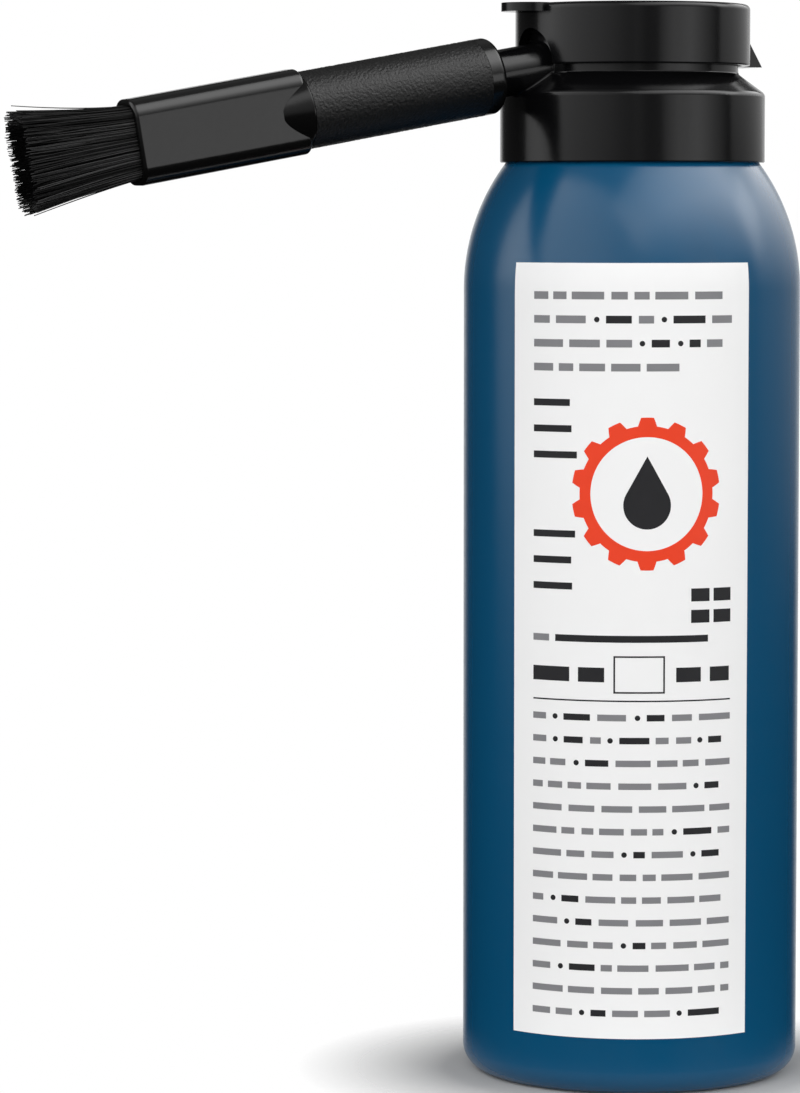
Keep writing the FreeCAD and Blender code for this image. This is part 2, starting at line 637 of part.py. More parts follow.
def bundle(place, half_height, half_thickness):
    """One four-sided bundle between the ferrule's mouth and the tips."""
    uneven = TUFT_UNEVEN * math.sin(place[0] * 5.3 + place[1] * 3.1)
    tip = FERRULE_END + TUFT_LENGTH - TUFT_UNEVEN + uneven

    def section(height, reach_x, reach_y):
        cell_x = 2 * reach_x / TUFT_ROWS
        cell_y = 2 * reach_y / TUFT_COLUMNS
        half_x = cell_x / 2 - TUFT_CELL_GAP / 2
        half_y = cell_y / 2 - TUFT_CELL_GAP / 2
        x = place[0] * cell_x
        y = place[1] * cell_y
        return Part.makePolygon([
            Vector(x - half_x, y - half_y, height),
            Vector(x + half_x, y - half_y, height),
            Vector(x + half_x, y + half_y, height),
            Vector(x - half_x, y + half_y, height),
            Vector(x - half_x, y - half_y, height),
        ])

    root = section(FERRULE_END, half_height, half_thickness)
    return Part.makeLoft([root, section(tip, TUFT_TIP_HALF_HEIGHT, TUFT_TIP_HALF_THICKNESS)], True, True)


def main():
    """Builds every piece in place and writes one file each."""
    upper_seal, lower_seal = seal_heights()
    upright = {
        "can_body": can_body(),
        "label": label(),
        "valve_cup": valve_cup(),
        "cup_gasket": cup_gasket(),
        "valve_housing": valve_housing(),
        "stem_gasket": stem_gasket(),
        "valve_stem": valve_stem(),
        "valve_spring": valve_spring(),
        "dip_tube": dip_tube(),
        "collar": collar(),
        "push_cap": push_cap(),
        "plunger": plunger(),
        "plunger_seal_upper": plunger_seal(upper_seal),
        "plunger_seal_lower": plunger_seal(lower_seal),
    }
    on_spout = {
        "brush_handle": brush_handle(),
        "brush_grip": brush_grip(),
        "brush_ferrule": brush_ferrule(),
        "bristle_tuft": bristle_tuft(),
    }
    for shape in on_spout.values():
        shape.Placement = ON_SPOUT
    os.makedirs("parts", exist_ok=True)
    for name, shape in {**upright, **on_spout}.items():
        shape.exportStep("parts/%s.step" % name)
        print(name, len(shape.Solids), shape.isValid(), round(shape.Volume, 2))


main()
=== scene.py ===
"""Chain lube bottle with a brush applicator: the finish of its pieces and a small studio around them."""
import math
import random

import bmesh
import bpy
from mathutils import Euler, Matrix, Vector


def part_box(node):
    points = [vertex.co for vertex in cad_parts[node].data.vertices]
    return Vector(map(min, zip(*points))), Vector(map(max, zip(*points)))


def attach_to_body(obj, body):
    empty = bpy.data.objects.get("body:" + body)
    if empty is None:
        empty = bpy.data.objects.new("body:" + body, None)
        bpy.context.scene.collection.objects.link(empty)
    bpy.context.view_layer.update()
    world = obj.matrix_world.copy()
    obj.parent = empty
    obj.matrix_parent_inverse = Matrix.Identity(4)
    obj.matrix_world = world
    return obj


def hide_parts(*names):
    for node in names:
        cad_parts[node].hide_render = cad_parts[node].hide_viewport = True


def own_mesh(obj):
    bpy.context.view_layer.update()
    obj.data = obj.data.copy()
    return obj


bl_info = {
    "name": "Chain lube bottle",
    "version": (1, 0, 0),
    "blender": (4, 5, 0),
    "location": "View3D > Sidebar > Lube Bottle",
    "description": "Dresses the packed chain lube bottle and sets it in a small studio",
    "category": "Object",
}

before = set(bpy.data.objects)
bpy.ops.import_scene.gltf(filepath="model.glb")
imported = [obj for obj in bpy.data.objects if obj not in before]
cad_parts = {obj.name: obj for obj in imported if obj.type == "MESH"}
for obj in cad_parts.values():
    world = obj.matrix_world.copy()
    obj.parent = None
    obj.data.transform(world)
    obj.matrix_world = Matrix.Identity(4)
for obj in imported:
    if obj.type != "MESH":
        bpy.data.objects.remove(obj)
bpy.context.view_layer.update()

MM = 0.001
TOUCHING = 0.001 * MM
CAN_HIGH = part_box("can_body")[1]
LABEL_LOW, LABEL_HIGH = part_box("label")
CAP_LOW, CAP_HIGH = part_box("push_cap")
CAN_RADIUS = CAN_HIGH.x
FILM_STEP = 1.2 * MM
CUT_EDGE = math.radians(40)
GLOSS_VARY = 0.08


def colour(red, green, blue):
    """Linear colour from display values between 0 and 255."""
    shares = (red / 255, green / 255, blue / 255)
    return tuple(v / 12.92 if v <= 0.04 else ((v + 0.055) / 1.055) ** 2.4 for v in shares)


def length(name, description, default):
    """Property for a length in metres."""
    return bpy.props.FloatProperty(
        name=name, description=description, default=default, unit="LENGTH", precision=5)


def tint(name, description, default):
    """Property for a surface colour."""
    return bpy.props.FloatVectorProperty(
        name=name, description=description, default=default, subtype="COLOR", min=0, max=1)


def degrees(name, description, default):
    """Property for an angle, with its default in degrees."""
    return bpy.props.FloatProperty(
        name=name, description=description, default=math.radians(default), subtype="ANGLE")


def amount(name, description, default):
    """Property for a number of facets or bristles."""
    return bpy.props.IntProperty(name=name, description=description, default=default, min=2)


def position(name, description, default):
    """Property for a point in metres."""
    return bpy.props.FloatVectorProperty(
        name=name, description=description, default=default, subtype="XYZ", unit="LENGTH")


def light_level(name, description, default):
    """Property for the brightness of a lamp or of the room."""
    return bpy.props.FloatProperty(name=name, description=description, default=default, min=0)


class CanSettings(bpy.types.PropertyGroup):
    """Shape and paint of the can."""
    straight_top: length("Straight top", "Height where the wall turns into the shoulder", 105.4 * MM)
    shoulder: length("Shoulder radius", "Radius of the shoulder's arc", 28 * MM)
    base_fillet: length("Base fillet", "Radius between the wall and the base", 3.4 * MM)
    base_ring: length("Base ring", "Width of the ring that the can stands on", 0.8 * MM)
    dome_rise: length("Dome rise", "Depth of the dome pressed into the base", 7 * MM)
    wall: length("Wall", "Thickness of the sheet", 0.45 * MM)
    dome_wall: length("Dome wall", "Thickness of the domed base", 1 * MM)
    neck_radius: length("Neck radius", "Outside of the short neck under the bead", 13.15 * MM)
    bead_radius: length("Bead radius", "Radius of the rolled bead at the mouth", 1.5 * MM)
    segments: amount("Segments", "Facets round the can", 256)
    paint: tint("Paint", "Colour of the lacquer", colour(4, 72, 108))


class LabelSettings(bpy.types.PropertyGroup):
    """Film, ink and layout of the label."""
    film: tint("Film", "Colour of the label", (0.88, 0.88, 0.88))
    ink: tint("Ink", "Colour of the strong bars", colour(40, 40, 42))
    pale_ink: tint("Pale ink", "Colour of the light bars", colour(128, 128, 131))
    accent: tint("Accent", "Colour of the printed sprocket", colour(232, 66, 36))
    thickness: length("Film thickness", "Thickness of the film on the can", 0.1 * MM)
    ink_thickness: length("Ink thickness", "How far the ink stands above the film", 0.012 * MM)
    azimuth: degrees("Azimuth", "Direction that the label's middle faces", 240)
    half_angle: degrees("Half angle", "Turn from the label's middle to its side", 42.4)
    left: length("Left margin", "Start of the rows, along the can from the label's middle", -13.4 * MM)
    right: length("Right margin", "End of the rows, along the can from the label's middle", 13.8 * MM)
    seed: bpy.props.IntProperty(name="Seed", description="Seed for the lengths of the bars", default=4)


class HeadSettings(bpy.types.PropertyGroup):
    """Sizes and finish of the moulded head."""
    cap_radius: length("Cap radius", "Outside of the push cap", 15.65 * MM)
    cap_wall: length("Cap wall", "Thickness of the cap's wall", 1.05 * MM)
    cap_top: length("Cap top", "Thickness of the cap's top", 1.3 * MM)
    cap_round: length("Cap round", "Round of the cap's upper edge", 0.7 * MM)
    cap_rim: length("Cap rim", "Round of the cap's lower edge", 0.2 * MM)
    snap_height: length("Snap height", "Height of the snap ring's upper face", 139.035 * MM)
    snap_reach: length("Snap reach", "How far the snap ring stands in", 0.42 * MM)
    snap_land: length("Snap land", "Height of the snap ring's straight part", 0.4 * MM)
    snap_slope: length("Snap slope", "Height of the slope below the snap ring", 0.4 * MM)
    socket_outer: length("Socket outside", "Outside of the socket under the cap", 4.15 * MM)
    socket_inner: length("Socket inside", "Bore of the socket under the cap", 2.6 * MM)
    socket_depth: length("Socket depth", "How far the socket hangs below the cap's top", 1.8 * MM)
    arch_height: length("Arch height", "Height of the arch above the spout's axis", 5.2 * MM)
    arch_width: length("Arch half width", "Half the width of the arch that clears the spout", 4.75 * MM)
    tab_width: length("Tab width", "Width of the thumb tab and of its round end", 7.3 * MM)
    tab_reach: length("Tab reach", "How far the thumb tab stands out", 3.8 * MM)
    tab_thickness: length("Tab thickness", "Thickness of the thumb tab", 1.15 * MM)
    tab_round: length("Tab round", "Round upper edge of the thumb tab", 0.45 * MM)
    wedge_width: length("Wedge width", "Width of the rear wedge", 5 * MM)
    wedge_reach: length("Wedge reach", "How far the rear wedge stands out", 3.05 * MM)
    wedge_height: length("Wedge height", "Height of the rear wedge", 5.1 * MM)
    travel: length("Travel", "How far the cap goes down when it is pressed", 1 * MM)
    segments: amount("Segments", "Facets round the cap and the handle", 192)
    plastic: tint("Plastic", "Colour of the collar and the cap", colour(8, 8, 9))
    crease: degrees("Crease", "Edges sharper than this stay sharp", 32)


class BrushSettings(bpy.types.PropertyGroup):
    """Sizes and finish of the brush."""
    slope: degrees("Slope", "Fall of the brush below the horizontal", 10)
    axis_height: length("Axis height", "Height where the brush's axis meets the can's axis", 137.335 * MM)
    handle_radius: length("Handle radius", "Outside of the grip", 5.05 * MM)
    handle_start: length("Handle start", "Start of the handle along the brush", 21.9 * MM)
    handle_round: length("Handle round", "Round of the handle's end ring", 0.8 * MM)
    spout_bore: length("Spout bore", "Bore that takes the spout", 3.2 * MM)
    spout_end: length("Spout end", "End of that bore along the brush", 30.05 * MM)
    channel: length("Channel", "Bore that leads on to the bristles", 1.2 * MM)
    shaft_radius: length("Shaft radius", "Recessed shaft under the grip", 4.4 * MM)
    grip_start: length("Grip start", "Start of the grip along the brush", 24.2 * MM)
    grip_length: length("Grip length", "Length of the grained sleeve", 26.05 * MM)
    grip_thickness: length("Grip thickness", "Wall of the grained sleeve", 0.6 * MM)
    grain_depth: length("Grain depth", "Height of the pebbles in the grip", 0.065 * MM)
    grain_size: length("Grain size", "Distance between the pebbles in the grip", 0.28 * MM)
    grip_rows: amount("Grip rows", "Rows of facets along the grip", 290)
    grip_segments: amount("Grip segments", "Facets round the grip", 330)
    grip_crease: degrees("Grip crease", "Edges of the grip sharper than this stay sharp", 60)
    nose_radius: length("Nose radius", "Shoulder between the grip and the ferrule", 4.93 * MM)
    nose_shoulder: length("Nose shoulder", "Length of the nose's straight part", 0.15 * MM)
    nose_round: length("Nose round", "Round between the nose's shoulder and its cone", 0.4 * MM)
    nose_cone: length("Nose cone", "Length of the nose's cone", 3.7 * MM)
    nose_tip: length("Nose tip", "Radius where the cone ends, level with the ferrule's flats", 3.33 * MM)
    spigot_height: length("Spigot half height", "Half the height of the bar inside the ferrule", 4.75 * MM)
    spigot_thickness: length("Spigot half thickness", "Half the thickness of that bar", 2.53 * MM)
    spigot_corner: length("Spigot corner", "Round corner of that bar", 1.6 * MM)
    spigot_length: length("Spigot length", "Length of that bar from the grip's end", 9.4 * MM)
    ferrule_end: length("Ferrule end", "Mouth of the ferrule along the brush", 74.5 * MM)
    root_height: length("Root half height", "Half the tuft's height in the ferrule", 4.7 * MM)
    root_thickness: length("Root half thickness", "Half the tuft's thickness in the ferrule", 2.45 * MM)
    root_corner: length("Root corner", "Round corner of the tuft in the ferrule", 1.55 * MM)
    tip_height: length("Tip half height", "Half the tuft's height at its tips", 6.3 * MM)
    tip_thickness: length("Tip half thickness", "Half the tuft's thickness at its tips", 3.3 * MM)
    bristle_length: length("Bristle length", "Length outside the ferrule", 15.2 * MM)
    bristle_root: length("Bristle root", "Length inside the ferrule", 3 * MM)
    bristle_radius: length("Bristle radius", "Radius of one bristle", 0.085 * MM)
    bristle_rows: amount("Rows", "Bristles across the height", 54)
    bristle_columns: amount("Columns", "Bristles across the thickness", 28)
    plastic: tint("Plastic", "Colour of the handle and the ferrule", colour(9, 9, 9))
    grip: tint("Grip", "Colour of the grained sleeve", colour(11, 11, 11))
    bristle: tint("Bristle", "Colour of the bristles", colour(8, 8, 8))


class StageSettings(bpy.types.PropertyGroup):
    """Camera, lamps and floor."""
    camera: position("Camera", "Place of the camera", (-0.31113, -0.53813, 0.11744))
    aim: position("Aim", "Point in the middle of the picture", (-0.02881, 0.01188, 0.0709))
    lens: bpy.props.FloatProperty(
        name="Lens", description="Focal length in millimetres", default=152.35, min=1)
    floor: tint("Floor", "Colour of the floor", (0.5, 0.5, 0.5))
    floor_radius: length("Floor radius", "Where the floor has faded out", 0.045)
    left_light: light_level("Left light", "Brightness of the wide soft box on the left", 2.1)
    right_light: light_level("Right light", "Brightness of the soft box on the right", 1.74)
    front_light: light_level("Front light", "Brightness of the dim soft box in front", 0.15)
    back_light: light_level("Back light", "Brightness of the soft box behind on the right", 2.8)
    top_light: light_level("Top light", "Brightness of the overhead soft box, for the sheen", 4.7)
    fill_light: light_level("Fill light", "Brightness of the two even lights from the front", 2.1)
    ceiling: light_level("Ceiling", "Brightness of the room overhead", 0.18)
    room: light_level("Room", "Brightness of the room round the object", 0.04)


class Graph:
    """Short way to add and link the nodes of a tree."""

    def __init__(self, tree):
        self.tree = tree

    def add(self, kind, inputs=None, **options):
        """Adds a node, sets its options, and links or sets its inputs by name or number."""
        node = self.tree.nodes.new(kind)
        for name, value in options.items():
            setattr(node, name, value)
        self.feed_all(node, inputs or {})
        return node

    def feed_all(self, node, values):
        """Links or sets the inputs of a node by name or number."""
        for key, value in values.items():
            self.feed(node.inputs[key], value)

    def feed(self, socket, value):
        """Links an output to a socket, or sets the socket's own value."""
        if isinstance(value, bpy.types.NodeSocket):
            self.tree.links.new(value, socket)
        else:
            socket.default_value = value

    def out(self, kind, inputs=None, **options):
        """First output of a new node."""
        return self.add(kind, inputs, **options).outputs[0]

    def math(self, operation, *values):
        """Output of a Math node."""
        return self.out("ShaderNodeMath", dict(enumerate(values)), operation=operation)

    def vector(self, operation, *values):
        """Vector from a Vector Math node."""
        return self.out("ShaderNodeVectorMath", dict(enumerate(values)), operation=operation)

    def scaled(self, vector, factor):
        """Vector made longer or shorter."""
        return self.out("ShaderNodeVectorMath", {0: vector, "Scale": factor}, operation="SCALE")

    def measure(self, operation, *values):
        """Number from a Vector Math node, such as a length."""
        node = self.add("ShaderNodeVectorMath", dict(enumerate(values)), operation=operation)
        return node.outputs["Value"]

    def split(self, vector):
        """The three parts of a vector."""
        return self.add("ShaderNodeSeparateXYZ", {0: vector}).outputs

    def join(self, x, y, z):
        """Vector from three parts."""
        return self.out("ShaderNodeCombineXYZ", {0: x, 1: y, 2: z})

    def polar(self, distance, angle, height):
        """Place at a distance from the upright axis, a turn round it and a height."""
        x = self.math("MULTIPLY", distance, self.math("COSINE", angle))
        y = self.math("MULTIPLY", distance, self.math("SINE", angle))
        return self.join(x, y, height)

    def mix(self, factor, low, high):
        """Colour between two colours."""
        node = self.add("ShaderNodeMix", {"Factor": factor, 6: low, 7: high}, data_type="RGBA")
        return node.outputs[2]

    def ramp(self, value, shares):
        """Value that runs through shares, set out evenly between 0 and 1."""
        node = self.add("ShaderNodeValToRGB", {0: value})
        stops = node.color_ramp.elements
        for index in range(1, len(shares) - 1):
            stops.new(index / (len(shares) - 1))
        for stop, share in zip(stops, shares):
            stop.color = (share, share, share, 1)
        return node.outputs[0]

    def remap(self, value, from_low, from_high, to_low, to_high):
        """Value carried from one range to another and kept inside it."""
        return self.out("ShaderNodeMapRange", {0: value, 1: from_low, 2: from_high, 3: to_low, 4: to_high})


def geometry_tree(name, sockets):
    """New geometry tree with a geometry in and out and named inputs, each a socket kind and a default."""
    tree = bpy.data.node_groups.new(name, "GeometryNodeTree")
    tree.interface.new_socket("Geometry", in_out="INPUT", socket_type="NodeSocketGeometry")
    tree.interface.new_socket("Geometry", in_out="OUTPUT", socket_type="NodeSocketGeometry")
    for label, (kind, default) in sockets.items():
        socket = tree.interface.new_socket(label, in_out="INPUT", socket_type="NodeSocket" + kind)
        if default is not None:
            socket.default_value = default
    graph = Graph(tree)
    return graph, graph.add("NodeGroupInput").outputs, graph.add("NodeGroupOutput").inputs


def finish_tree(graph, outputs, geometry, material):
    """Ends a tree: instances made real, shaded smooth, with one material."""
    real = graph.out("GeometryNodeRealizeInstances", {0: geometry})
    smooth = graph.out("GeometryNodeSetShadeSmooth", {"Geometry": real})
    dressed = graph.out("GeometryNodeSetMaterial", {"Geometry": smooth, "Material": material})
    graph.feed(outputs[0], dressed)


def carried(graph, geometry, inputs):
    """Geometry turned and moved to its place on the part."""
    return graph.out("GeometryNodeTransform", {
        "Geometry": geometry,
        "Rotation": inputs["Tilt"],
        "Translation": inputs["Lift"],
    })


def grown(name, mesh, tree, values):
    """New object at the origin whose plain mesh is what a geometry tree makes of a start mesh."""
    start = bpy.data.objects.new(name + "_start", mesh)
    bpy.context.scene.collection.objects.link(start)
    modifier = start.modifiers.new("shape", "NODES")
    modifier.node_group = tree
    identifiers = {item.name: item.identifier for item in tree.interface.items_tree if item.in_out == "INPUT"}
    for label, value in values.items():
        modifier[identifiers[label]] = value
    evaluated = start.evaluated_get(bpy.context.evaluated_depsgraph_get())
    result = bpy.data.meshes.new_from_object(evaluated)
    result.name = name
    if not result.polygons:
        raise RuntimeError("the tree for %s made no faces" % name)
    material = result.materials[-1]
    result.materials.clear()
    result.materials.append(material)
    start.modifiers.remove(modifier)
    bpy.data.objects.remove(start)
    bpy.data.meshes.remove(mesh)
    piece = bpy.data.objects.new(name, result)
    bpy.context.scene.collection.objects.link(piece)
    return piece


def attach(piece, body, slot, *nodes):
    """Lets a piece ride on a body and hides the solids that it stands for; its slot is not used."""
    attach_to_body(piece, body)
    if nodes:
        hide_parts(*nodes)
    return piece


def profile_mesh(points):
    """Start mesh for a turned piece: its profile's points in order, distance from the axis and height."""
    mesh = bpy.data.meshes.new("profile")
    mesh.from_pydata([(r, 0, z) for r, z in points], [(i, i + 1) for i in range(len(points) - 1)], [])
    return mesh


def arc(centre, radius, start, end, steps):
    """Points on an arc of a profile, angles in degrees from straight out, upwards positive."""
    points = []
    for step in range(steps + 1):
        turn = math.radians(start + (end - start) * step / steps)
        points.append((centre[0] + radius * math.cos(turn), centre[1] + radius * math.sin(turn)))
    return points


def rounded(points, steps=6, support=0.12 * MM):
    """Closed profile whose points may carry a corner radius, with a row of points beside each round."""
    result = []
    count = len(points)
    for index, point in enumerate(points):
        corner = Vector(point[:2])
        before = Vector(points[index - 1][:2]) - corner
        after = Vector(points[(index + 1) % count][:2]) - corner
        if len(point) == 2:
            result.append(tuple(corner))
            continue
        half = before.angle(after) / 2
        reach = point[2] / math.tan(half)
        middle = (before.normalized() + after.normalized()).normalized()
        centre = corner + middle * (point[2] / math.sin(half))
        first = corner + before.normalized() * reach - centre
        last = corner + after.normalized() * reach - centre
        turn = first.angle_signed(last)
        result.append(tuple(corner + before.normalized() * (reach + support)))
        for step in range(steps + 1):
            result.append(tuple(centre + Matrix.Rotation(-turn * step / steps, 2) @ first))
        result.append(tuple(corner + after.normalized() * (reach + support)))
    return result + result[:1]


def oblong(half_x, half_y, corner, steps=6):
    """Outline of an oblong with round corners, or with round ends where the corner fills a side."""
    points = []
    for quarter, (x, y) in enumerate(((1, 1), (-1, 1), (-1, -1), (1, -1))):
        centre = (x * (half_x - corner), y * (half_y - corner))
        for step in range(steps + 1):
            turn = math.pi / 2 * (quarter + step / steps)
            points.append(Vector((centre[0] + corner * math.cos(turn), centre[1] + corner * math.sin(turn))))
    return [point for index, point in enumerate(points) if (point - points[index - 1]).length > TOUCHING]


def extruded(outline, low, high, edge_round=0.0):
    """Solid mesh above an outline between two heights, with its upper rim rounded."""
    work = bmesh.new()
    floor = [work.verts.new((x, y, low)) for x, y in outline]
    roof = [work.verts.new((x, y, high)) for x, y in outline]
    work.faces.new(floor[::-1])
    work.faces.new(roof)
    for index in range(len(outline)):
        after = (index + 1) % len(outline)
        work.faces.new((floor[index], floor[after], roof[after], roof[index]))
    if edge_round:
        rims = [edge for edge in work.edges if all(vert.co.z == roof[0].co.z for vert in edge.verts)]
        bmesh.ops.bevel(work, geom=rims, offset=edge_round, segments=4, profile=0.5, affect="EDGES")
    mesh = bpy.data.meshes.new("solid")
    work.to_mesh(mesh)
    work.free()
    return mesh


def combined(piece, steps, crease):
    """Joins solids to a piece or cuts them out of it, in order, and keeps its edges crisp."""
    tools = []
    for operation, mesh in steps:
        tool = bpy.data.objects.new("tool", mesh)
        bpy.context.scene.collection.objects.link(tool)
        modifier = piece.modifiers.new("shape", "BOOLEAN")
        modifier.operation = operation
        modifier.solver = "EXACT"
        modifier.object = tool
        tools.append(tool)
    evaluated = piece.evaluated_get(bpy.context.evaluated_depsgraph_get())
    result = bpy.data.meshes.new_from_object(evaluated)
    result.name = piece.name
    piece.modifiers.clear()
    for tool in tools:
        bpy.data.objects.remove(tool)
    piece.data = result
    result.shade_smooth()
    result.set_sharp_from_angle(angle=crease)
    return piece


def turned_tree():
    """Tree that turns a profile about the vertical axis, grains its outside and puts it in place."""
    graph, inputs, outputs = geometry_tree("turned_piece", {
        "Segments": ("Int", 128),
        "Grain Depth": ("Float", 0.0),
        "Grain Size": ("Float", 0.001),
        "Grain Radius": ("Float", 1.0),
        "Tilt": ("Rotation", None),
        "Lift": ("Vector", None),
        "Material": ("Material", None),
    })
    profile = inputs["Geometry"]
    size = graph.out("GeometryNodeAttributeDomainSize", {0: profile}, component="MESH")
    around = graph.math("ADD", inputs["Segments"], 1)
    grid = graph.out("GeometryNodeMeshGrid", {"Vertices X": around, "Vertices Y": size})
    index = graph.out("GeometryNodeInputIndex")
    turn = graph.math("FLOOR", graph.math("DIVIDE", graph.math("ADD", index, 0.5), size))
    angle = graph.math("MULTIPLY", graph.math("DIVIDE", turn, inputs["Segments"]), -2 * math.pi)
    sample = graph.out("GeometryNodeSampleIndex", {
        "Geometry": profile,
        "Value": graph.out("GeometryNodeInputPosition"),
        "Index": graph.math("MODULO", index, size),
    }, data_type="FLOAT_VECTOR", domain="POINT")
    radius, _, height = graph.split(sample)

    # Grain: a smooth cell pattern, warped so that its pebbles aren't alike, sunk into the outer wall
    plain = graph.polar(radius, angle, height)
    warp = graph.add("ShaderNodeTexNoise", {
        "Vector": plain,
        "Scale": graph.math("DIVIDE", 0.6, inputs["Grain Size"]),
        "Detail": 1.0,
    })
    shift = graph.vector("SUBTRACT", warp.outputs["Color"], (0.5, 0.5, 0.5))
    cells = graph.add("ShaderNodeTexVoronoi", {
        "Vector": graph.vector("ADD", plain, graph.scaled(shift, inputs["Grain Size"])),
        "Scale": graph.math("DIVIDE", 1.0, inputs["Grain Size"]),
    }, feature="SMOOTH_F1")
    pebble = graph.remap(cells.outputs["Distance"], 0.15, 0.75, 0.0, 1.0)
    outside = graph.math("GREATER_THAN", radius, inputs["Grain Radius"])
    dip = graph.math("MULTIPLY", graph.math("MULTIPLY", pebble, inputs["Grain Depth"]), outside)
    grained = graph.polar(graph.math("SUBTRACT", radius, dip), angle, height)
    shaped = graph.out("GeometryNodeSetPosition", {"Geometry": grid, "Position": grained})
    closed = graph.out("GeometryNodeMergeByDistance", {"Geometry": shaped, "Distance": 2 * TOUCHING})
    finish_tree(graph, outputs, carried(graph, closed, inputs), inputs["Material"])
    return graph.tree


def wrap_tree():
    """Tree that lays a flat sheet round the can: X runs along the wall, Y is height, Z stands off it."""
    graph, inputs, outputs = geometry_tree("wrap_round_can", {
        "Radius": ("Float", CAN_RADIUS),
        "Straight Top": ("Float", 0.1),
        "Shoulder": ("Float", 0.03),
        "Azimuth": ("Float", 0.0),
        "Material": ("Material", None),
    })
    along, height, proud = graph.split(graph.out("GeometryNodeInputPosition"))
    angle = graph.math("ADD", graph.math("DIVIDE", along, inputs["Radius"]), inputs["Azimuth"])
    above = graph.math("MAXIMUM", graph.math("SUBTRACT", height, inputs["Straight Top"]), 0.0)
    squares = [graph.math("POWER", value, 2.0) for value in (inputs["Shoulder"], above)]
    reach = graph.math("SQRT", graph.math("SUBTRACT", *squares))
    lean = graph.math("SUBTRACT", reach, inputs["Shoulder"])
    distance = graph.math("ADD", graph.math("ADD", inputs["Radius"], lean), proud)
    bent = graph.out("GeometryNodeSetPosition", {
        "Geometry": inputs["Geometry"],
        "Position": graph.polar(distance, angle, height),
    })
    finish_tree(graph, outputs, bent, inputs["Material"])
    return graph.tree


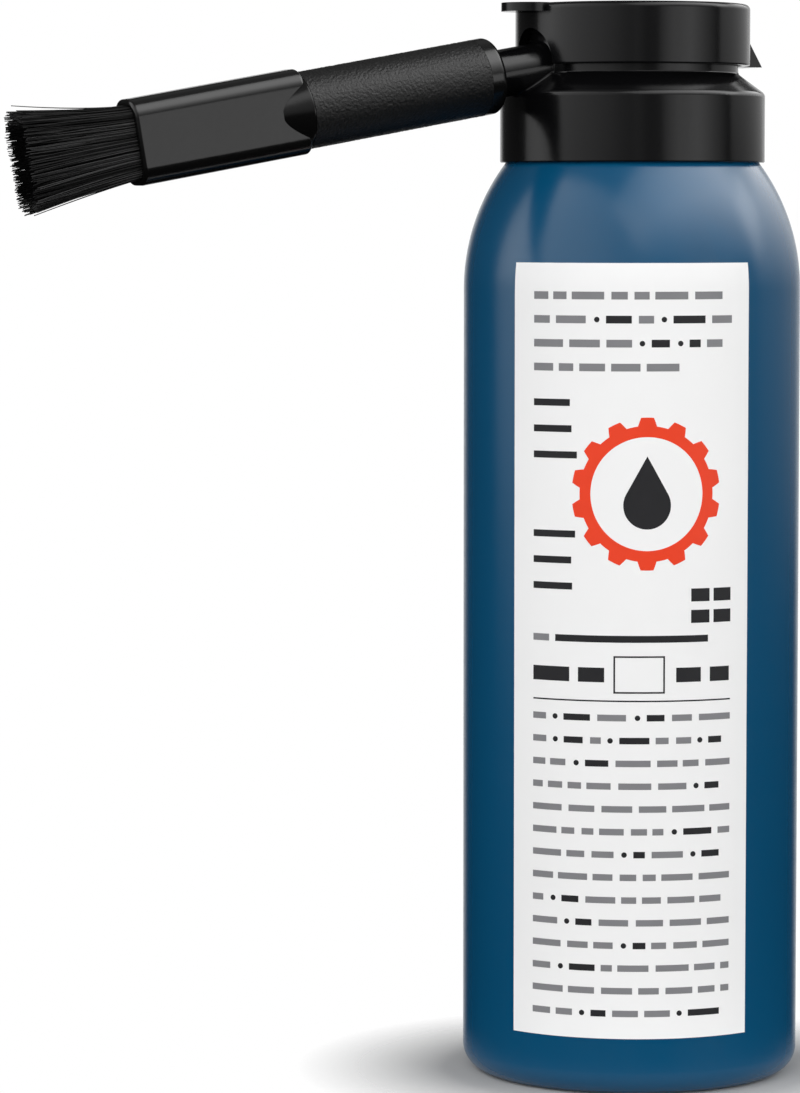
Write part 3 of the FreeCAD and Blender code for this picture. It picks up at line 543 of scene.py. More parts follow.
def bristle_tree():
    """Tree that grows the tuft: strands from a rounded oblong, fanned towards uneven tips."""
    graph, inputs, outputs = geometry_tree("bristle_tuft", {
        "Rows": ("Int", 40),
        "Columns": ("Int", 20),
        "Root Height": ("Float", 0.004),
        "Root Thickness": ("Float", 0.002),
        "Corner": ("Float", 0.001),
        "Tip Height": ("Float", 0.006),
        "Tip Thickness": ("Float", 0.003),
        "Root Length": ("Float", 0.003),
        "Free Length": ("Float", 0.015),
        "Strand Radius": ("Float", 0.0001),
        "Wander": ("Float", 0.45 * MM),
        "Taper": ("Float", 0.35),
        "Uneven": ("Float", 0.06),
        "Stray": ("Float", 0.035),
        "Stray Sway": ("Float", 1.8),
        "Fan Power": ("Float", 1.15),
        "Sway Power": ("Float", 1.6),
        "Seed": ("Int", 7),
        "Tilt": ("Rotation", None),
        "Lift": ("Vector", None),
        "Material": ("Material", None),
    })
    height, thickness, corner = inputs["Root Height"], inputs["Root Thickness"], inputs["Corner"]
    grid = graph.out("GeometryNodeMeshGrid", {
        "Size X": graph.math("MULTIPLY", height, 2.0),
        "Size Y": graph.math("MULTIPLY", thickness, 2.0),
        "Vertices X": inputs["Rows"],
        "Vertices Y": inputs["Columns"],
    })
    points = graph.out("GeometryNodeMeshToPoints", {0: grid})

    def chance(low, high, offset, kind="FLOAT_VECTOR"):
        node = graph.add("FunctionNodeRandomValue", {}, data_type=kind)
        first = 0 if kind == "FLOAT_VECTOR" else 2
        graph.feed(node.inputs[first], low)
        graph.feed(node.inputs[first + 1], high)
        graph.feed(node.inputs["Seed"], graph.math("ADD", inputs["Seed"], offset))
        return node.outputs[0 if kind == "FLOAT_VECTOR" else 1]

    spread = graph.math("DIVIDE", height, inputs["Rows"])
    jitter = graph.join(spread, spread, 0.0)
    shift = chance(graph.scaled(jitter, -1.0), jitter, 0)
    points = graph.out("GeometryNodeSetPosition", {"Geometry": points, "Offset": shift})
    x, y, _ = graph.split(graph.out("GeometryNodeInputPosition"))

    def past(value, half):
        reach = graph.math("SUBTRACT", graph.math("ABSOLUTE", value), graph.math("SUBTRACT", half, corner))
        return graph.math("POWER", graph.math("MAXIMUM", reach, 0.0), 2.0)

    reach = graph.math("SQRT", graph.math("ADD", past(x, height), past(y, thickness)))
    points = graph.out("GeometryNodeDeleteGeometry", {
        "Geometry": points,
        "Selection": graph.math("GREATER_THAN", reach, corner),
    }, domain="POINT")

    capture = graph.add("GeometryNodeCaptureAttribute", {0: points}, domain="POINT")
    for label, kind in (("Root", "VECTOR"), ("Lean", "VECTOR"), ("Tone", "FLOAT"), ("Loose", "FLOAT")):
        capture.capture_items.new(kind, label)
    graph.feed(capture.inputs["Root"], graph.out("GeometryNodeInputPosition"))
    graph.feed(capture.inputs["Lean"], chance((-1, -1, 0), (1, 1, 1), 1))
    graph.feed(capture.inputs["Tone"], chance(0.0, 1.0, 2, "FLOAT"))
    graph.feed(capture.inputs["Loose"], chance(0.0, 1.0, 3, "FLOAT"))

    # Each strand starts as an upright bar, 1 m long and 1 m in radius, and is then sized and bent
    strand = graph.out("GeometryNodeMeshCylinder", {
        "Vertices": 4,
        "Side Segments": 8,
        "Radius": 1.0,
        "Depth": 1.0,
    })
    upright = graph.out("GeometryNodeTransform", {"Geometry": strand, "Translation": (0, 0, 0.5)})
    instances = graph.out("GeometryNodeInstanceOnPoints", {"Points": capture.outputs[0], "Instance": upright})
    strands = graph.out("GeometryNodeRealizeInstances", {0: instances})

    here = graph.out("GeometryNodeInputPosition")
    round_x, round_y, share = graph.split(graph.vector("SUBTRACT", here, capture.outputs["Root"]))
    root_x, root_y, _ = graph.split(capture.outputs["Root"])
    lean_x, lean_y, short = graph.split(capture.outputs["Lean"])
    whole = graph.math("ADD", inputs["Root Length"], inputs["Free Length"])
    reach_z = graph.math("SUBTRACT", graph.math("MULTIPLY", share, whole), inputs["Root Length"])
    free = graph.math("DIVIDE", graph.math("MAXIMUM", reach_z, 0.0), inputs["Free Length"])
    fan = graph.math("POWER", free, inputs["Fan Power"])
    wild = graph.math("GREATER_THAN", capture.outputs["Loose"], graph.math("SUBTRACT", 1.0, inputs["Stray"]))
    wider = graph.math("MULTIPLY_ADD", wild, inputs["Stray Sway"], 1.0)
    sway = graph.math("MULTIPLY", graph.math("POWER", free, inputs["Sway Power"]), wider)

    def bend(root, tip, half, lean, ring):
        grow = graph.math("SUBTRACT", graph.math("DIVIDE", tip, half), 1.0)
        spot = graph.math("MULTIPLY", root, graph.math("MULTIPLY_ADD", fan, grow, 1.0))
        wander = graph.math("MULTIPLY", graph.math("MULTIPLY", lean, sway), inputs["Wander"])
        thinner = graph.math("SUBTRACT", 1.0, graph.math("MULTIPLY", free, inputs["Taper"]))
        radius = graph.math("MULTIPLY", inputs["Strand Radius"], thinner)
        return graph.math("MULTIPLY_ADD", ring, radius, graph.math("ADD", spot, wander))

    place_x = bend(root_x, inputs["Tip Height"], height, lean_x, round_x)
    place_y = bend(root_y, inputs["Tip Thickness"], thickness, lean_y, round_y)
    loss = graph.math("MULTIPLY", graph.math("POWER", short, 3.0), inputs["Uneven"])
    place_z = graph.math("MULTIPLY", reach_z, graph.math("SUBTRACT", 1.0, loss))
    bent = graph.join(place_x, place_y, place_z)
    shaped = graph.out("GeometryNodeSetPosition", {"Geometry": strands, "Position": bent})

    # Painted shade: inner strands and the strand tips are darkened in colour, standing in for the shade deep
    # inside a tuft
    across = graph.math("DIVIDE", graph.math("ABSOLUTE", root_x), height)
    through = graph.math("DIVIDE", graph.math("ABSOLUTE", root_y), thickness)
    outer = graph.remap(graph.math("MAXIMUM", across, through), 0.7, 0.9, 0.0, 1.0)
    shade = graph.math("MULTIPLY", graph.remap(free, 0.9, 1.0, 1.0, 0.0), outer)
    # Stores each strand's random tone multiplied by the painted shade of the inner strands and tips
    toned_and_shaded = graph.out("GeometryNodeStoreNamedAttribute", {
        "Geometry": shaped,
        "Name": "tone_and_shade",
        "Value": graph.math("MULTIPLY", capture.outputs["Tone"], shade),
    }, data_type="FLOAT", domain="POINT")
    finish_tree(graph, outputs, carried(graph, toned_and_shaded, inputs), inputs["Material"])
    return graph.tree


def surface_group():
    """Shader group for fine unevenness: a speckle, a slow cloud and a height, at a given size."""
    group = bpy.data.node_groups.get("surface_unevenness")
    if group:
        return group
    group = bpy.data.node_groups.new("surface_unevenness", "ShaderNodeTree")
    for name, default in (("Fine Size", 0.0003), ("Cloud Size", 0.02)):
        socket = group.interface.new_socket(name, in_out="INPUT", socket_type="NodeSocketFloat")
        socket.default_value = default
    for name in ("Speckle", "Cloud", "Height"):
        group.interface.new_socket(name, in_out="OUTPUT", socket_type="NodeSocketFloat")
    graph = Graph(group)
    inputs = graph.add("NodeGroupInput").outputs
    outputs = graph.add("NodeGroupOutput").inputs
    place = graph.add("ShaderNodeTexCoord").outputs["Object"]

    def noise(size, detail):
        scale = graph.math("DIVIDE", 1.0, inputs[size])
        return graph.out("ShaderNodeTexNoise", {"Vector": place, "Scale": scale, "Detail": detail})

    speckle = noise("Fine Size", 2.0)
    cloud = noise("Cloud Size", 1.0)
    graph.feed(outputs["Speckle"], speckle)
    graph.feed(outputs["Cloud"], cloud)
    graph.feed(outputs["Height"], graph.math("MULTIPLY_ADD", cloud, 0.6, speckle))
    return group


def plain_material(name):
    """New material with its shader and a helper for its nodes."""
    material = bpy.data.materials.new(name)
    material.use_nodes = True
    return material, material.node_tree.nodes["Principled BSDF"], Graph(material.node_tree)


def scaled_colour(base, factor):
    """Lighter or darker colour for a socket."""
    return tuple(min(1, part * factor) for part in base) + (1,)


def finish(name, base, roughness, specular=0.5, fine=0.3, cloud=20.0, vary=0.12, bump=0.02, metal=0.0):
    """Material whose colour, gloss and relief vary finely. Sizes are in millimetres, vary is a share."""
    material, shader, graph = plain_material(name)
    sizes = {"Fine Size": fine * MM, "Cloud Size": cloud * MM}
    surface = graph.add("ShaderNodeGroup", sizes, node_tree=surface_group())
    relief = graph.out("ShaderNodeBump", {
        "Strength": bump,
        "Distance": fine * MM,
        "Height": surface.outputs["Height"],
    })
    dark = scaled_colour(base, 1 - vary)
    light = scaled_colour(base, 1 + vary)
    glossy = roughness * (1 - GLOSS_VARY)
    dull = roughness * (1 + GLOSS_VARY)
    graph.feed_all(shader, {
        "Base Color": graph.mix(surface.outputs["Cloud"], dark, light),
        "Roughness": graph.remap(surface.outputs["Speckle"], 0.3, 0.7, glossy, dull),
        "Normal": relief,
        "Specular IOR Level": specular,
        "Metallic": metal,
    })
    return material


def bristle_finish(base):
    """Nylon for the bristles: each strand has its own depth of colour and gloss, and the inner strands and
    tips are painted darker as shade.
    """
    material, shader, graph = plain_material("bristle_nylon")
    tone_and_shade = graph.add("ShaderNodeAttribute", attribute_name="tone_and_shade").outputs["Fac"]
    dark = scaled_colour(base, 0.3)
    light = scaled_colour(base, 24)
    graph.feed_all(shader, {
        # Darker where the painted shade of the tuft falls, on inner strands and tips, as well as at random
        "Base Color": graph.mix(graph.math("POWER", tone_and_shade, 1.3), dark, light),
        "Roughness": graph.remap(tone_and_shade, 0.0, 1.0, 0.55, 0.35),
        "Specular IOR Level": 0.03,
    })
    return material


def brush_place(brush, distance):
    """Rotation and place that carry a piece made along Z to a distance along the brush."""
    tilt = Euler((0, -math.pi / 2 - brush.slope, 0))
    along = Vector((-math.cos(brush.slope), 0, -math.sin(brush.slope)))
    return tilt, Vector((0, 0, brush.axis_height)) + along * distance


def lay_along_brush(mesh, brush):
    """Moves a mesh made along Z on to the brush's axis."""
    tilt, lift = brush_place(brush, 0)
    mesh.transform(Matrix.Translation(lift) @ tilt.to_matrix().to_4x4())


def smooth_copy(node, name, material, crease):
    """Copy of a CAD node with its triangles joined, smooth where it is round and crisp at its edges."""
    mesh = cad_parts[node].data.copy()
    mesh.name = name
    work = bmesh.new()
    work.from_mesh(mesh)
    bmesh.ops.remove_doubles(work, verts=work.verts, dist=TOUCHING)
    work.to_mesh(mesh)
    work.free()
    mesh.materials.clear()
    mesh.materials.append(material)
    mesh.shade_smooth()
    mesh.set_sharp_from_angle(angle=crease)
    piece = bpy.data.objects.new(name, mesh)
    bpy.context.scene.collection.objects.link(piece)
    modifier = piece.modifiers.new("even_normals", "WEIGHTED_NORMAL")
    modifier.keep_sharp = True
    modifier.weight = 90
    return piece


class LUBE_OT_can(bpy.types.Operator):
    """Turns the painted can and stands it in place of its solid."""
    bl_idname = "lube.can"
    bl_label = "Can"

    def execute(self, context):
        can = context.scene.lube_can
        paint = finish("can_lacquer", can.paint, 0.22, fine=1.5, cloud=30, vary=0.04, bump=0.004)
        piece = grown("can", profile_mesh(can_profile(can)), turned_tree(), {
            "Segments": can.segments,
            "Material": paint,
        })
        attach(piece, "bottle", "can_paint", "can_body")
        return {"FINISHED"}


def can_profile(can):
    """Turned profile of the can: dome, base, wall, shoulder and bead outside, then back down inside."""
    ring = CAN_RADIUS - can.base_fillet
    dome_edge = ring - can.base_ring
    dome = (dome_edge ** 2 + can.dome_rise ** 2) / (2 * can.dome_rise)
    dome_centre = (0, can.dome_rise - dome)
    edge_turn = math.degrees(math.asin((dome - can.dome_rise) / dome))
    inner_dome = dome + can.dome_wall
    inner_turn = math.degrees(math.acos(ring / inner_dome))
    shoulder_centre = (CAN_RADIUS - can.shoulder, can.straight_top)
    shoulder_turn = math.degrees(math.acos((can.neck_radius - shoulder_centre[0]) / can.shoulder))
    inner = can.shoulder - can.wall
    inner_neck = shoulder_centre[1] + inner * math.sin(math.radians(shoulder_turn))
    bead_centre = (can.neck_radius - can.wall + can.bead_radius, CAN_HIGH.z - can.bead_radius)
    bead_low = math.degrees(math.acos((can.bead_radius - can.wall) / can.bead_radius))
    points = arc(dome_centre, dome, 90, edge_turn, 24)
    points += arc((ring, can.base_fillet), can.base_fillet, -90, 0, 14)
    points += [(CAN_RADIUS, can.base_fillet + MM), (CAN_RADIUS, can.straight_top - MM)]
    points += arc(shoulder_centre, can.shoulder, 0, shoulder_turn, 40)
    points += arc(bead_centre, can.bead_radius, 180 + bead_low, 540, 24)
    points.append((bead_centre[0] - can.bead_radius, inner_neck))
    points += arc(shoulder_centre, inner, shoulder_turn, 0, 20)
    points.append((CAN_RADIUS - can.wall, can.base_fillet))
    points += arc(dome_centre, inner_dome, inner_turn, 90, 16)
    return points


def flat_grid(low, high, step):
    """Flat sheet between two corners, divided into squares of about a step."""
    across = max(1, round((high[0] - low[0]) / step))
    up = max(1, round((high[1] - low[1]) / step))
    verts = []
    faces = []
    for i in range(across + 1):
        for j in range(up + 1):
            verts.append((low[0] + (high[0] - low[0]) * i / across, low[1] + (high[1] - low[1]) * j / up, 0))
    for i in range(across):
        for j in range(up):
            a = i * (up + 1) + j
            faces.append((a, a + up + 1, a + up + 2, a + 1))
    return verts, faces


def sheet_mesh(sheets, thickness, lift=0.0):
    """One mesh of flat sheets with a thickness, to be laid round the can."""
    work = bmesh.new()
    for verts, faces in sheets:
        made = [work.verts.new(v) for v in verts]
        for face in faces:
            work.faces.new([made[i] for i in face])
    bmesh.ops.remove_doubles(work, verts=work.verts[:], dist=TOUCHING)
    top = bmesh.ops.extrude_face_region(work, geom=work.faces[:])
    moved = [item for item in top["geom"] if isinstance(item, bmesh.types.BMVert)]
    bmesh.ops.translate(work, verts=moved, vec=(0, 0, thickness))
    bmesh.ops.translate(work, verts=work.verts, vec=(0, 0, lift))
    bmesh.ops.recalc_face_normals(work, faces=work.faces)
    mesh = bpy.data.meshes.new("sheet")
    work.to_mesh(mesh)
    work.free()
    return mesh


def wrapped(name, mesh, can, label, material):
    """Piece that lies round the can, crisp at its cut edges."""
    piece = grown(name, mesh, wrap_tree(), {
        "Radius": CAN_RADIUS,
        "Straight Top": can.straight_top,
        "Shoulder": can.shoulder,
        "Azimuth": label.azimuth,
        "Material": material,
    })
    piece.data.set_sharp_from_angle(angle=CUT_EDGE)
    return attach(piece, "bottle", "label_film")


class LUBE_OT_label(bpy.types.Operator):
    """Lays the white film round the can in place of its solid."""
    bl_idname = "lube.label"
    bl_label = "Label"

    def execute(self, context):
        can = context.scene.lube_can
        label = context.scene.lube_label
        half = label.half_angle * CAN_RADIUS
        film = finish("label_film", label.film, 0.42, specular=0.2, fine=0.25, cloud=6, vary=0.012, bump=0.03)
        sheet = flat_grid((-half, LABEL_LOW.z), (half, LABEL_HIGH.z), FILM_STEP)
        piece = wrapped("label_sheet", sheet_mesh([sheet], label.thickness), can, label, film)
        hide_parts("label")
        return {"FINISHED"}


# Layout of the print in metres: lengths along the can from the label's middle, heights above the floor
PRINT_STEP = 0.7 * MM
BAR_LENGTHS = (1.4 * MM, 4.6 * MM)
BAR_GAPS = (0.7 * MM, 1 * MM)
SHORT_BAR = 1.2 * MM
DOT_RADIUS = 0.36 * MM
DOT_INSET = 0.5 * MM
DOT_ROOM = 1.7 * MM
DOT_FROM_END = 4 * MM
DOT_CHANCE = 0.2
UPPER_ROWS = 4
UPPER_TOP = 104.9 * MM
UPPER_PITCH = 3.1 * MM
UPPER_BAR = 1 * MM
UPPER_LAST_SHORT = 6 * MM
LIST_TOPS = (91 * MM, 73.9 * MM)
LIST_ROWS = 3
LIST_PITCH = 3.4 * MM
LIST_BAR = 0.9 * MM
LIST_LENGTHS = (5.2 * MM, 6.6 * MM)
RULE_HEIGHT = 60.3 * MM
RULE_BAR = 0.9 * MM
RULE_LEAD = 2.4 * MM
RULE_START = 3.3 * MM
RULE_FROM_END = 3.4 * MM
BLOCK_HEIGHTS = (66 * MM, 63.2 * MM)
BLOCK_BAR = 1.7 * MM
BLOCK_WIDTH = 2.6 * MM
BLOCK_OFFSETS = (5.8 * MM, 2.6 * MM)
BAND_HEIGHT = 55.6 * MM
BAND_BAR = 1.9 * MM
BAND_SPANS = ((-13.4 * MM, -8.1 * MM), (-6.9 * MM, -3.4 * MM), (6 * MM, 9.4 * MM), (10.7 * MM, 13.6 * MM))
BOX_LOW = (-2.2 * MM, 53.2 * MM)
BOX_HIGH = (4.5 * MM, 58.1 * MM)
BOX_LINE = 0.22 * MM
LINE_HEIGHT = 52.2 * MM
LINE_BAR = 0.2 * MM
LOWER_ROWS = 14
LOWER_TOP = 50 * MM
LOWER_PITCH = 2.99 * MM
LOWER_BAR = 0.85 * MM
SPROCKET_CENTRE = (2.1 * MM, 79.2 * MM)
SPROCKET_BORE = 7.4 * MM
SPROCKET_PITCH_RADIUS = 9.4 * MM
TOOTH_HEIGHT = 0.9 * MM
TEETH = 14
TOOTH_FLAT = 0.6
TOOTH_STEEPNESS = 1.6
DROP_RADIUS = 3.1 * MM
DROP_TIP = 6.4 * MM
DROP_BELOW = 1.5 * MM


def bar(left, right, height, thickness):
    """Flat bar along a row."""
    return flat_grid((left, height - thickness / 2), (right, height + thickness / 2), PRINT_STEP)


def bar_row(rng, left, right, height, thickness):
    """Light bars along a row with gaps between them, and at times a dot with a strong bar after it."""
    strong = []
    light = []
    here = left
    while here < right - SHORT_BAR:
        marked = here > left and here < right - DOT_FROM_END and rng.random() < DOT_CHANCE
        if marked:
            strong.append(disc_sheet((here + DOT_INSET, height), DOT_RADIUS))
            here += DOT_ROOM
        end = min(right, here + rng.uniform(*BAR_LENGTHS))
        if end > right - SHORT_BAR:
            end = right
        (strong if marked else light).append(bar(here, end, height, thickness))
        here = end + rng.uniform(*BAR_GAPS)
    return strong, light


def ring_sheet(centre, inner, outer, count, rings):
    """Flat ring between two radii given as functions of the share of a turn, in rings that can bend."""
    verts = []
    faces = []
    for i in range(count):
        turn = 2 * math.pi * i / count
        low, high = inner(i / count), outer(i / count)
        for ring in range(rings + 1):
            radius = low + (high - low) * ring / rings
            verts.append((centre[0] + radius * math.sin(turn), centre[1] + radius * math.cos(turn), 0))
        a, b = (rings + 1) * i, (rings + 1) * ((i + 1) % count)
        faces += [(a + ring, a + ring + 1, b + ring + 1, b + ring) for ring in range(rings)]
    return verts, faces


def disc_sheet(centre, radius):
    """Flat round dot."""
    return ring_sheet(centre, lambda share: 0.0, lambda share: radius, count=20, rings=1)


def frame_sheet(low, high, line):
    """Flat sheets for the four sides of an open box."""
    sides = (
        (low, (high[0], low[1] + line)),
        ((low[0], high[1] - line), high),
        ((low[0], low[1] + line), (low[0] + line, high[1] - line)),
        ((high[0] - line, low[1] + line), (high[0], high[1] - line)),
    )
    return [flat_grid(start, end, PRINT_STEP) for start, end in sides]


def printed_bars(rng, left, right):
    """Sheets of the strong and of the light ink, apart from the drop."""
    strong = []
    light = []

    def fill(stop, height, thickness):
        dark, pale = bar_row(rng, left, stop, height, thickness)
        strong.extend(dark)
        light.extend(pale)

    for row in range(UPPER_ROWS):
        stop = right - UPPER_LAST_SHORT if row == UPPER_ROWS - 1 else right
        fill(stop, UPPER_TOP - UPPER_PITCH * row, UPPER_BAR)
    for top in LIST_TOPS:
        for row in range(LIST_ROWS):
            stop = left + rng.uniform(*LIST_LENGTHS)
            strong.append(bar(left, stop, top - LIST_PITCH * row, LIST_BAR))
    light.append(bar(left, left + RULE_LEAD, RULE_HEIGHT, RULE_BAR))
    strong.append(bar(left + RULE_START, right - RULE_FROM_END, RULE_HEIGHT, RULE_BAR))
    for start, stop in BAND_SPANS:
        strong.append(bar(start, stop, BAND_HEIGHT, BAND_BAR))
    for height in BLOCK_HEIGHTS:
        for offset in BLOCK_OFFSETS:
            strong.append(bar(right - offset, right - offset + BLOCK_WIDTH, height, BLOCK_BAR))
    strong.extend(frame_sheet(BOX_LOW, BOX_HIGH, BOX_LINE))
    strong.append(bar(left, right, LINE_HEIGHT, LINE_BAR))
    for row in range(LOWER_ROWS):
        fill(right, LOWER_TOP - LOWER_PITCH * row, LOWER_BAR)
    return strong, light


def tooth_radius(share):
    """Outside of the printed sprocket at a share of a turn."""
    wave = math.cos(2 * math.pi * TEETH * share)
    return SPROCKET_PITCH_RADIUS + TOOTH_HEIGHT * max(-TOOTH_FLAT, min(TOOTH_FLAT, TOOTH_STEEPNESS * wave))


def drop_radius(share):
    """Outside of the printed drop: a circle with two tangents that meet in its tip."""
    turn = 2 * math.pi * min(share, 1 - share)
    tangent = math.acos(DROP_RADIUS / DROP_TIP)
    return DROP_RADIUS / math.cos(max(0.0, tangent - turn))


class LUBE_OT_print(bpy.types.Operator):
    """Prints plain bars in rows and a sprocket with a drop on the label."""
    bl_idname = "lube.print"
    bl_label = "Print"

    def execute(self, context):
        can = context.scene.lube_can
        label = context.scene.lube_label
        strong, light = printed_bars(random.Random(label.seed), label.left, label.right)
        x, y = SPROCKET_CENTRE
        sprocket = ring_sheet((x, y), lambda share: SPROCKET_BORE, tooth_radius, count=224, rings=5)
        drop = ring_sheet((x, y - DROP_BELOW), lambda share: 0.0, drop_radius, count=96, rings=9)
        layers = (
            ("print_strong", strong + [drop], "label_ink", label.ink, 0.1),
            ("print_light", light, "label_pale_ink", label.pale_ink, 0.06),
            ("print_sprocket", [sprocket], "label_accent", label.accent, 0.05),
        )
        for name, sheets, finish_name, base, vary in layers:
            ink = finish(finish_name, base, 0.45, specular=0.15, fine=0.2, cloud=3, vary=vary)
            mesh = sheet_mesh(sheets, 2 * label.ink_thickness, label.thickness - label.ink_thickness)
            wrapped(name, mesh, can, label, ink)
        return {"FINISHED"}


class LUBE_OT_head(bpy.types.Operator):
    """Gives the collar and the push cap their glossy moulded finish."""
    bl_idname = "lube.head"
    bl_label = "Head"

    def execute(self, context):
        head = context.scene.lube_head
        brush = context.scene.lube_brush
        plastic = finish(
            "head_plastic", head.plastic, 0.17, specular=0.33, fine=0.6, cloud=8, vary=0.1, bump=0.004)
        collar = smooth_copy("collar", "head_collar", plastic, head.crease)
        attach(collar, "bottle", "head_plastic", "collar")
        cap = grown("head_cap", profile_mesh(cap_profile(head)), turned_tree(), {
            "Segments": head.segments,
            "Material": plastic,
        })
        combined(cap, cap_steps(head, brush), head.crease)
        attach(cap, "press", "head_plastic", "push_cap")
        return {"FINISHED"}


def cap_profile(head):
    """Turned profile of the push cap: wall, top, snap ring and the socket for the plunger."""
    bottom, top = CAP_LOW.z, CAP_HIGH.z
    ceiling = top - head.cap_top
    bore = head.cap_radius - head.cap_wall
    snap_bore = bore - head.snap_reach
    return rounded([
        (head.cap_radius, bottom, head.cap_rim),
        (head.cap_radius, top, head.cap_round),
        (0, top),
        (0, ceiling),
        (head.socket_inner, ceiling),
        (head.socket_inner, ceiling - head.socket_depth),
        (head.socket_outer, ceiling - head.socket_depth),
        (head.socket_outer, ceiling),
        (bore, ceiling),
        (bore, head.snap_height),
        (snap_bore, head.snap_height),
        (snap_bore, head.snap_height - head.snap_land),
        (bore, head.snap_height - head.snap_land - head.snap_slope),
        (bore, bottom),
    ])


def cap_steps(head, brush):
    """Thumb tab and rear wedge that join the cap, and the arch that is cut out of it."""
    bottom, top = CAP_LOW.z, CAP_HIGH.z
    inside = head.cap_radius - head.cap_wall / 2
    half_tab = head.tab_width / 2
    tab = extruded(oblong(half_tab, half_tab, half_tab, 24), top - head.tab_thickness, top, head.tab_round)
    tab.transform(Matrix.Translation((half_tab - head.cap_radius - head.tab_reach, 0, 0)))
    wedge = extruded([
        (inside, bottom),
        (head.cap_radius + head.wedge_reach, bottom),
        (head.cap_radius, bottom + head.wedge_height),
        (inside, bottom + head.wedge_height),
    ], -head.wedge_width / 2, head.wedge_width / 2)
    wedge.transform(Matrix.Rotation(math.pi / 2, 4, "X"))
    outline = oblong(head.arch_height, head.arch_width, head.arch_width, 24)
    arch = extruded(outline, inside - 2 * head.cap_wall, brush.handle_start)
    lay_along_brush(arch, brush)
    return [("UNION", tab), ("UNION", wedge), ("DIFFERENCE", arch)]


class LUBE_OT_brush(bpy.types.Operator):
    """Finishes the handle and the ferrule, and makes the grained grip."""
    bl_idname = "lube.brush"
    bl_label = "Brush"

    def execute(self, context):
        head = context.scene.lube_head
        brush = context.scene.lube_brush
        satin = finish(
            "brush_plastic", brush.plastic, 0.18, specular=0.43, fine=0.6, cloud=8, vary=0.1, bump=0.006)
        grain = finish(
            "grip_grain", brush.grip, 0.4, specular=0.34, fine=0.16, cloud=4, vary=0.2, bump=0.4)
        handle = grown("handle", profile_mesh(handle_profile(brush)), turned_tree(), {
            "Segments": head.segments,
            "Material": satin,
        })
        combined(handle, spigot_steps(brush), head.crease)
        lay_along_brush(handle.data, brush)
        attach(handle, "bottle", "brush_plastic", "brush_handle")
        ferrule = smooth_copy("brush_ferrule", "ferrule", satin, head.crease)
        attach(ferrule, "bottle", "brush_plastic", "brush_ferrule")
        tilt, lift = brush_place(brush, brush.grip_start)
        grip = grown("grip", profile_mesh(grip_profile(brush)), turned_tree(), {
            "Segments": brush.grip_segments,
            "Grain Depth": brush.grain_depth,
            "Grain Size": brush.grain_size,
            "Grain Radius": brush.handle_radius - brush.grip_thickness / 2,
            "Tilt": tilt,
            "Lift": lift,
            "Material": grain,
        })
        grip.data.set_sharp_from_angle(angle=brush.grip_crease)
        attach(grip, "bottle", "grip_grain", "brush_grip")
        return {"FINISHED"}


def handle_profile(brush):
    """Turned profile of the handle along the brush: end ring, recessed shaft, nose and bores."""
    nose = brush.grip_start + brush.grip_length
    cone = nose + brush.nose_shoulder
    return rounded([
        (brush.spout_bore, brush.handle_start),
        (brush.handle_radius, brush.handle_start, brush.handle_round),
        (brush.handle_radius, brush.grip_start),
        (brush.shaft_radius, brush.grip_start),
        (brush.shaft_radius, nose),
        (brush.nose_radius, nose),
        (brush.nose_radius, cone, brush.nose_round),
        (brush.nose_tip, cone + brush.nose_cone),
        (brush.channel, cone + brush.nose_cone),
        (brush.channel, brush.spout_end),
        (brush.spout_bore, brush.spout_end),
    ])


def spigot_steps(brush):
    """Flat bar that joins the handle's nose, and the channel that is cut through both."""
    start = brush.grip_start + brush.grip_length
    end = start + brush.spigot_length
    outline = oblong(brush.spigot_height, brush.spigot_thickness, brush.spigot_corner)
    channel = oblong(brush.channel, brush.channel, brush.channel, 12)
    return [
        ("UNION", extruded(outline, start, end)),
        ("DIFFERENCE", extruded(channel, brush.spout_end, end + MM)),
    ]


def grip_profile(brush):
    """Turned profile of the grained sleeve, with rows close enough to carry the grain."""
    outer = brush.handle_radius
    inner = outer - brush.grip_thickness
    rows = [(outer, brush.grip_length * row / brush.grip_rows) for row in range(brush.grip_rows + 1)]
    return [(inner, 0)] + rows + [(inner, brush.grip_length), (inner, 0)]


class LUBE_OT_bristles(bpy.types.Operator):
    """Grows the bristles from the mouth of the ferrule."""
    bl_idname = "lube.bristles"
    bl_label = "Bristles"

    def execute(self, context):
        brush = context.scene.lube_brush
        tilt, lift = brush_place(brush, brush.ferrule_end)
        piece = grown("bristles", bpy.data.meshes.new("start"), bristle_tree(), {
            "Rows": brush.bristle_rows,
            "Columns": brush.bristle_columns,
            "Root Height": brush.root_height,
            "Root Thickness": brush.root_thickness,
            "Corner": brush.root_corner,
            "Tip Height": brush.tip_height,
            "Tip Thickness": brush.tip_thickness,
            "Root Length": brush.bristle_root,
            "Free Length": brush.bristle_length,
            "Strand Radius": brush.bristle_radius,
            "Tilt": tilt,
            "Lift": lift,
            "Material": bristle_finish(brush.bristle),
        })
        attach(piece, "bottle", "bristle", "bristle_tuft")
        return {"FINISHED"}


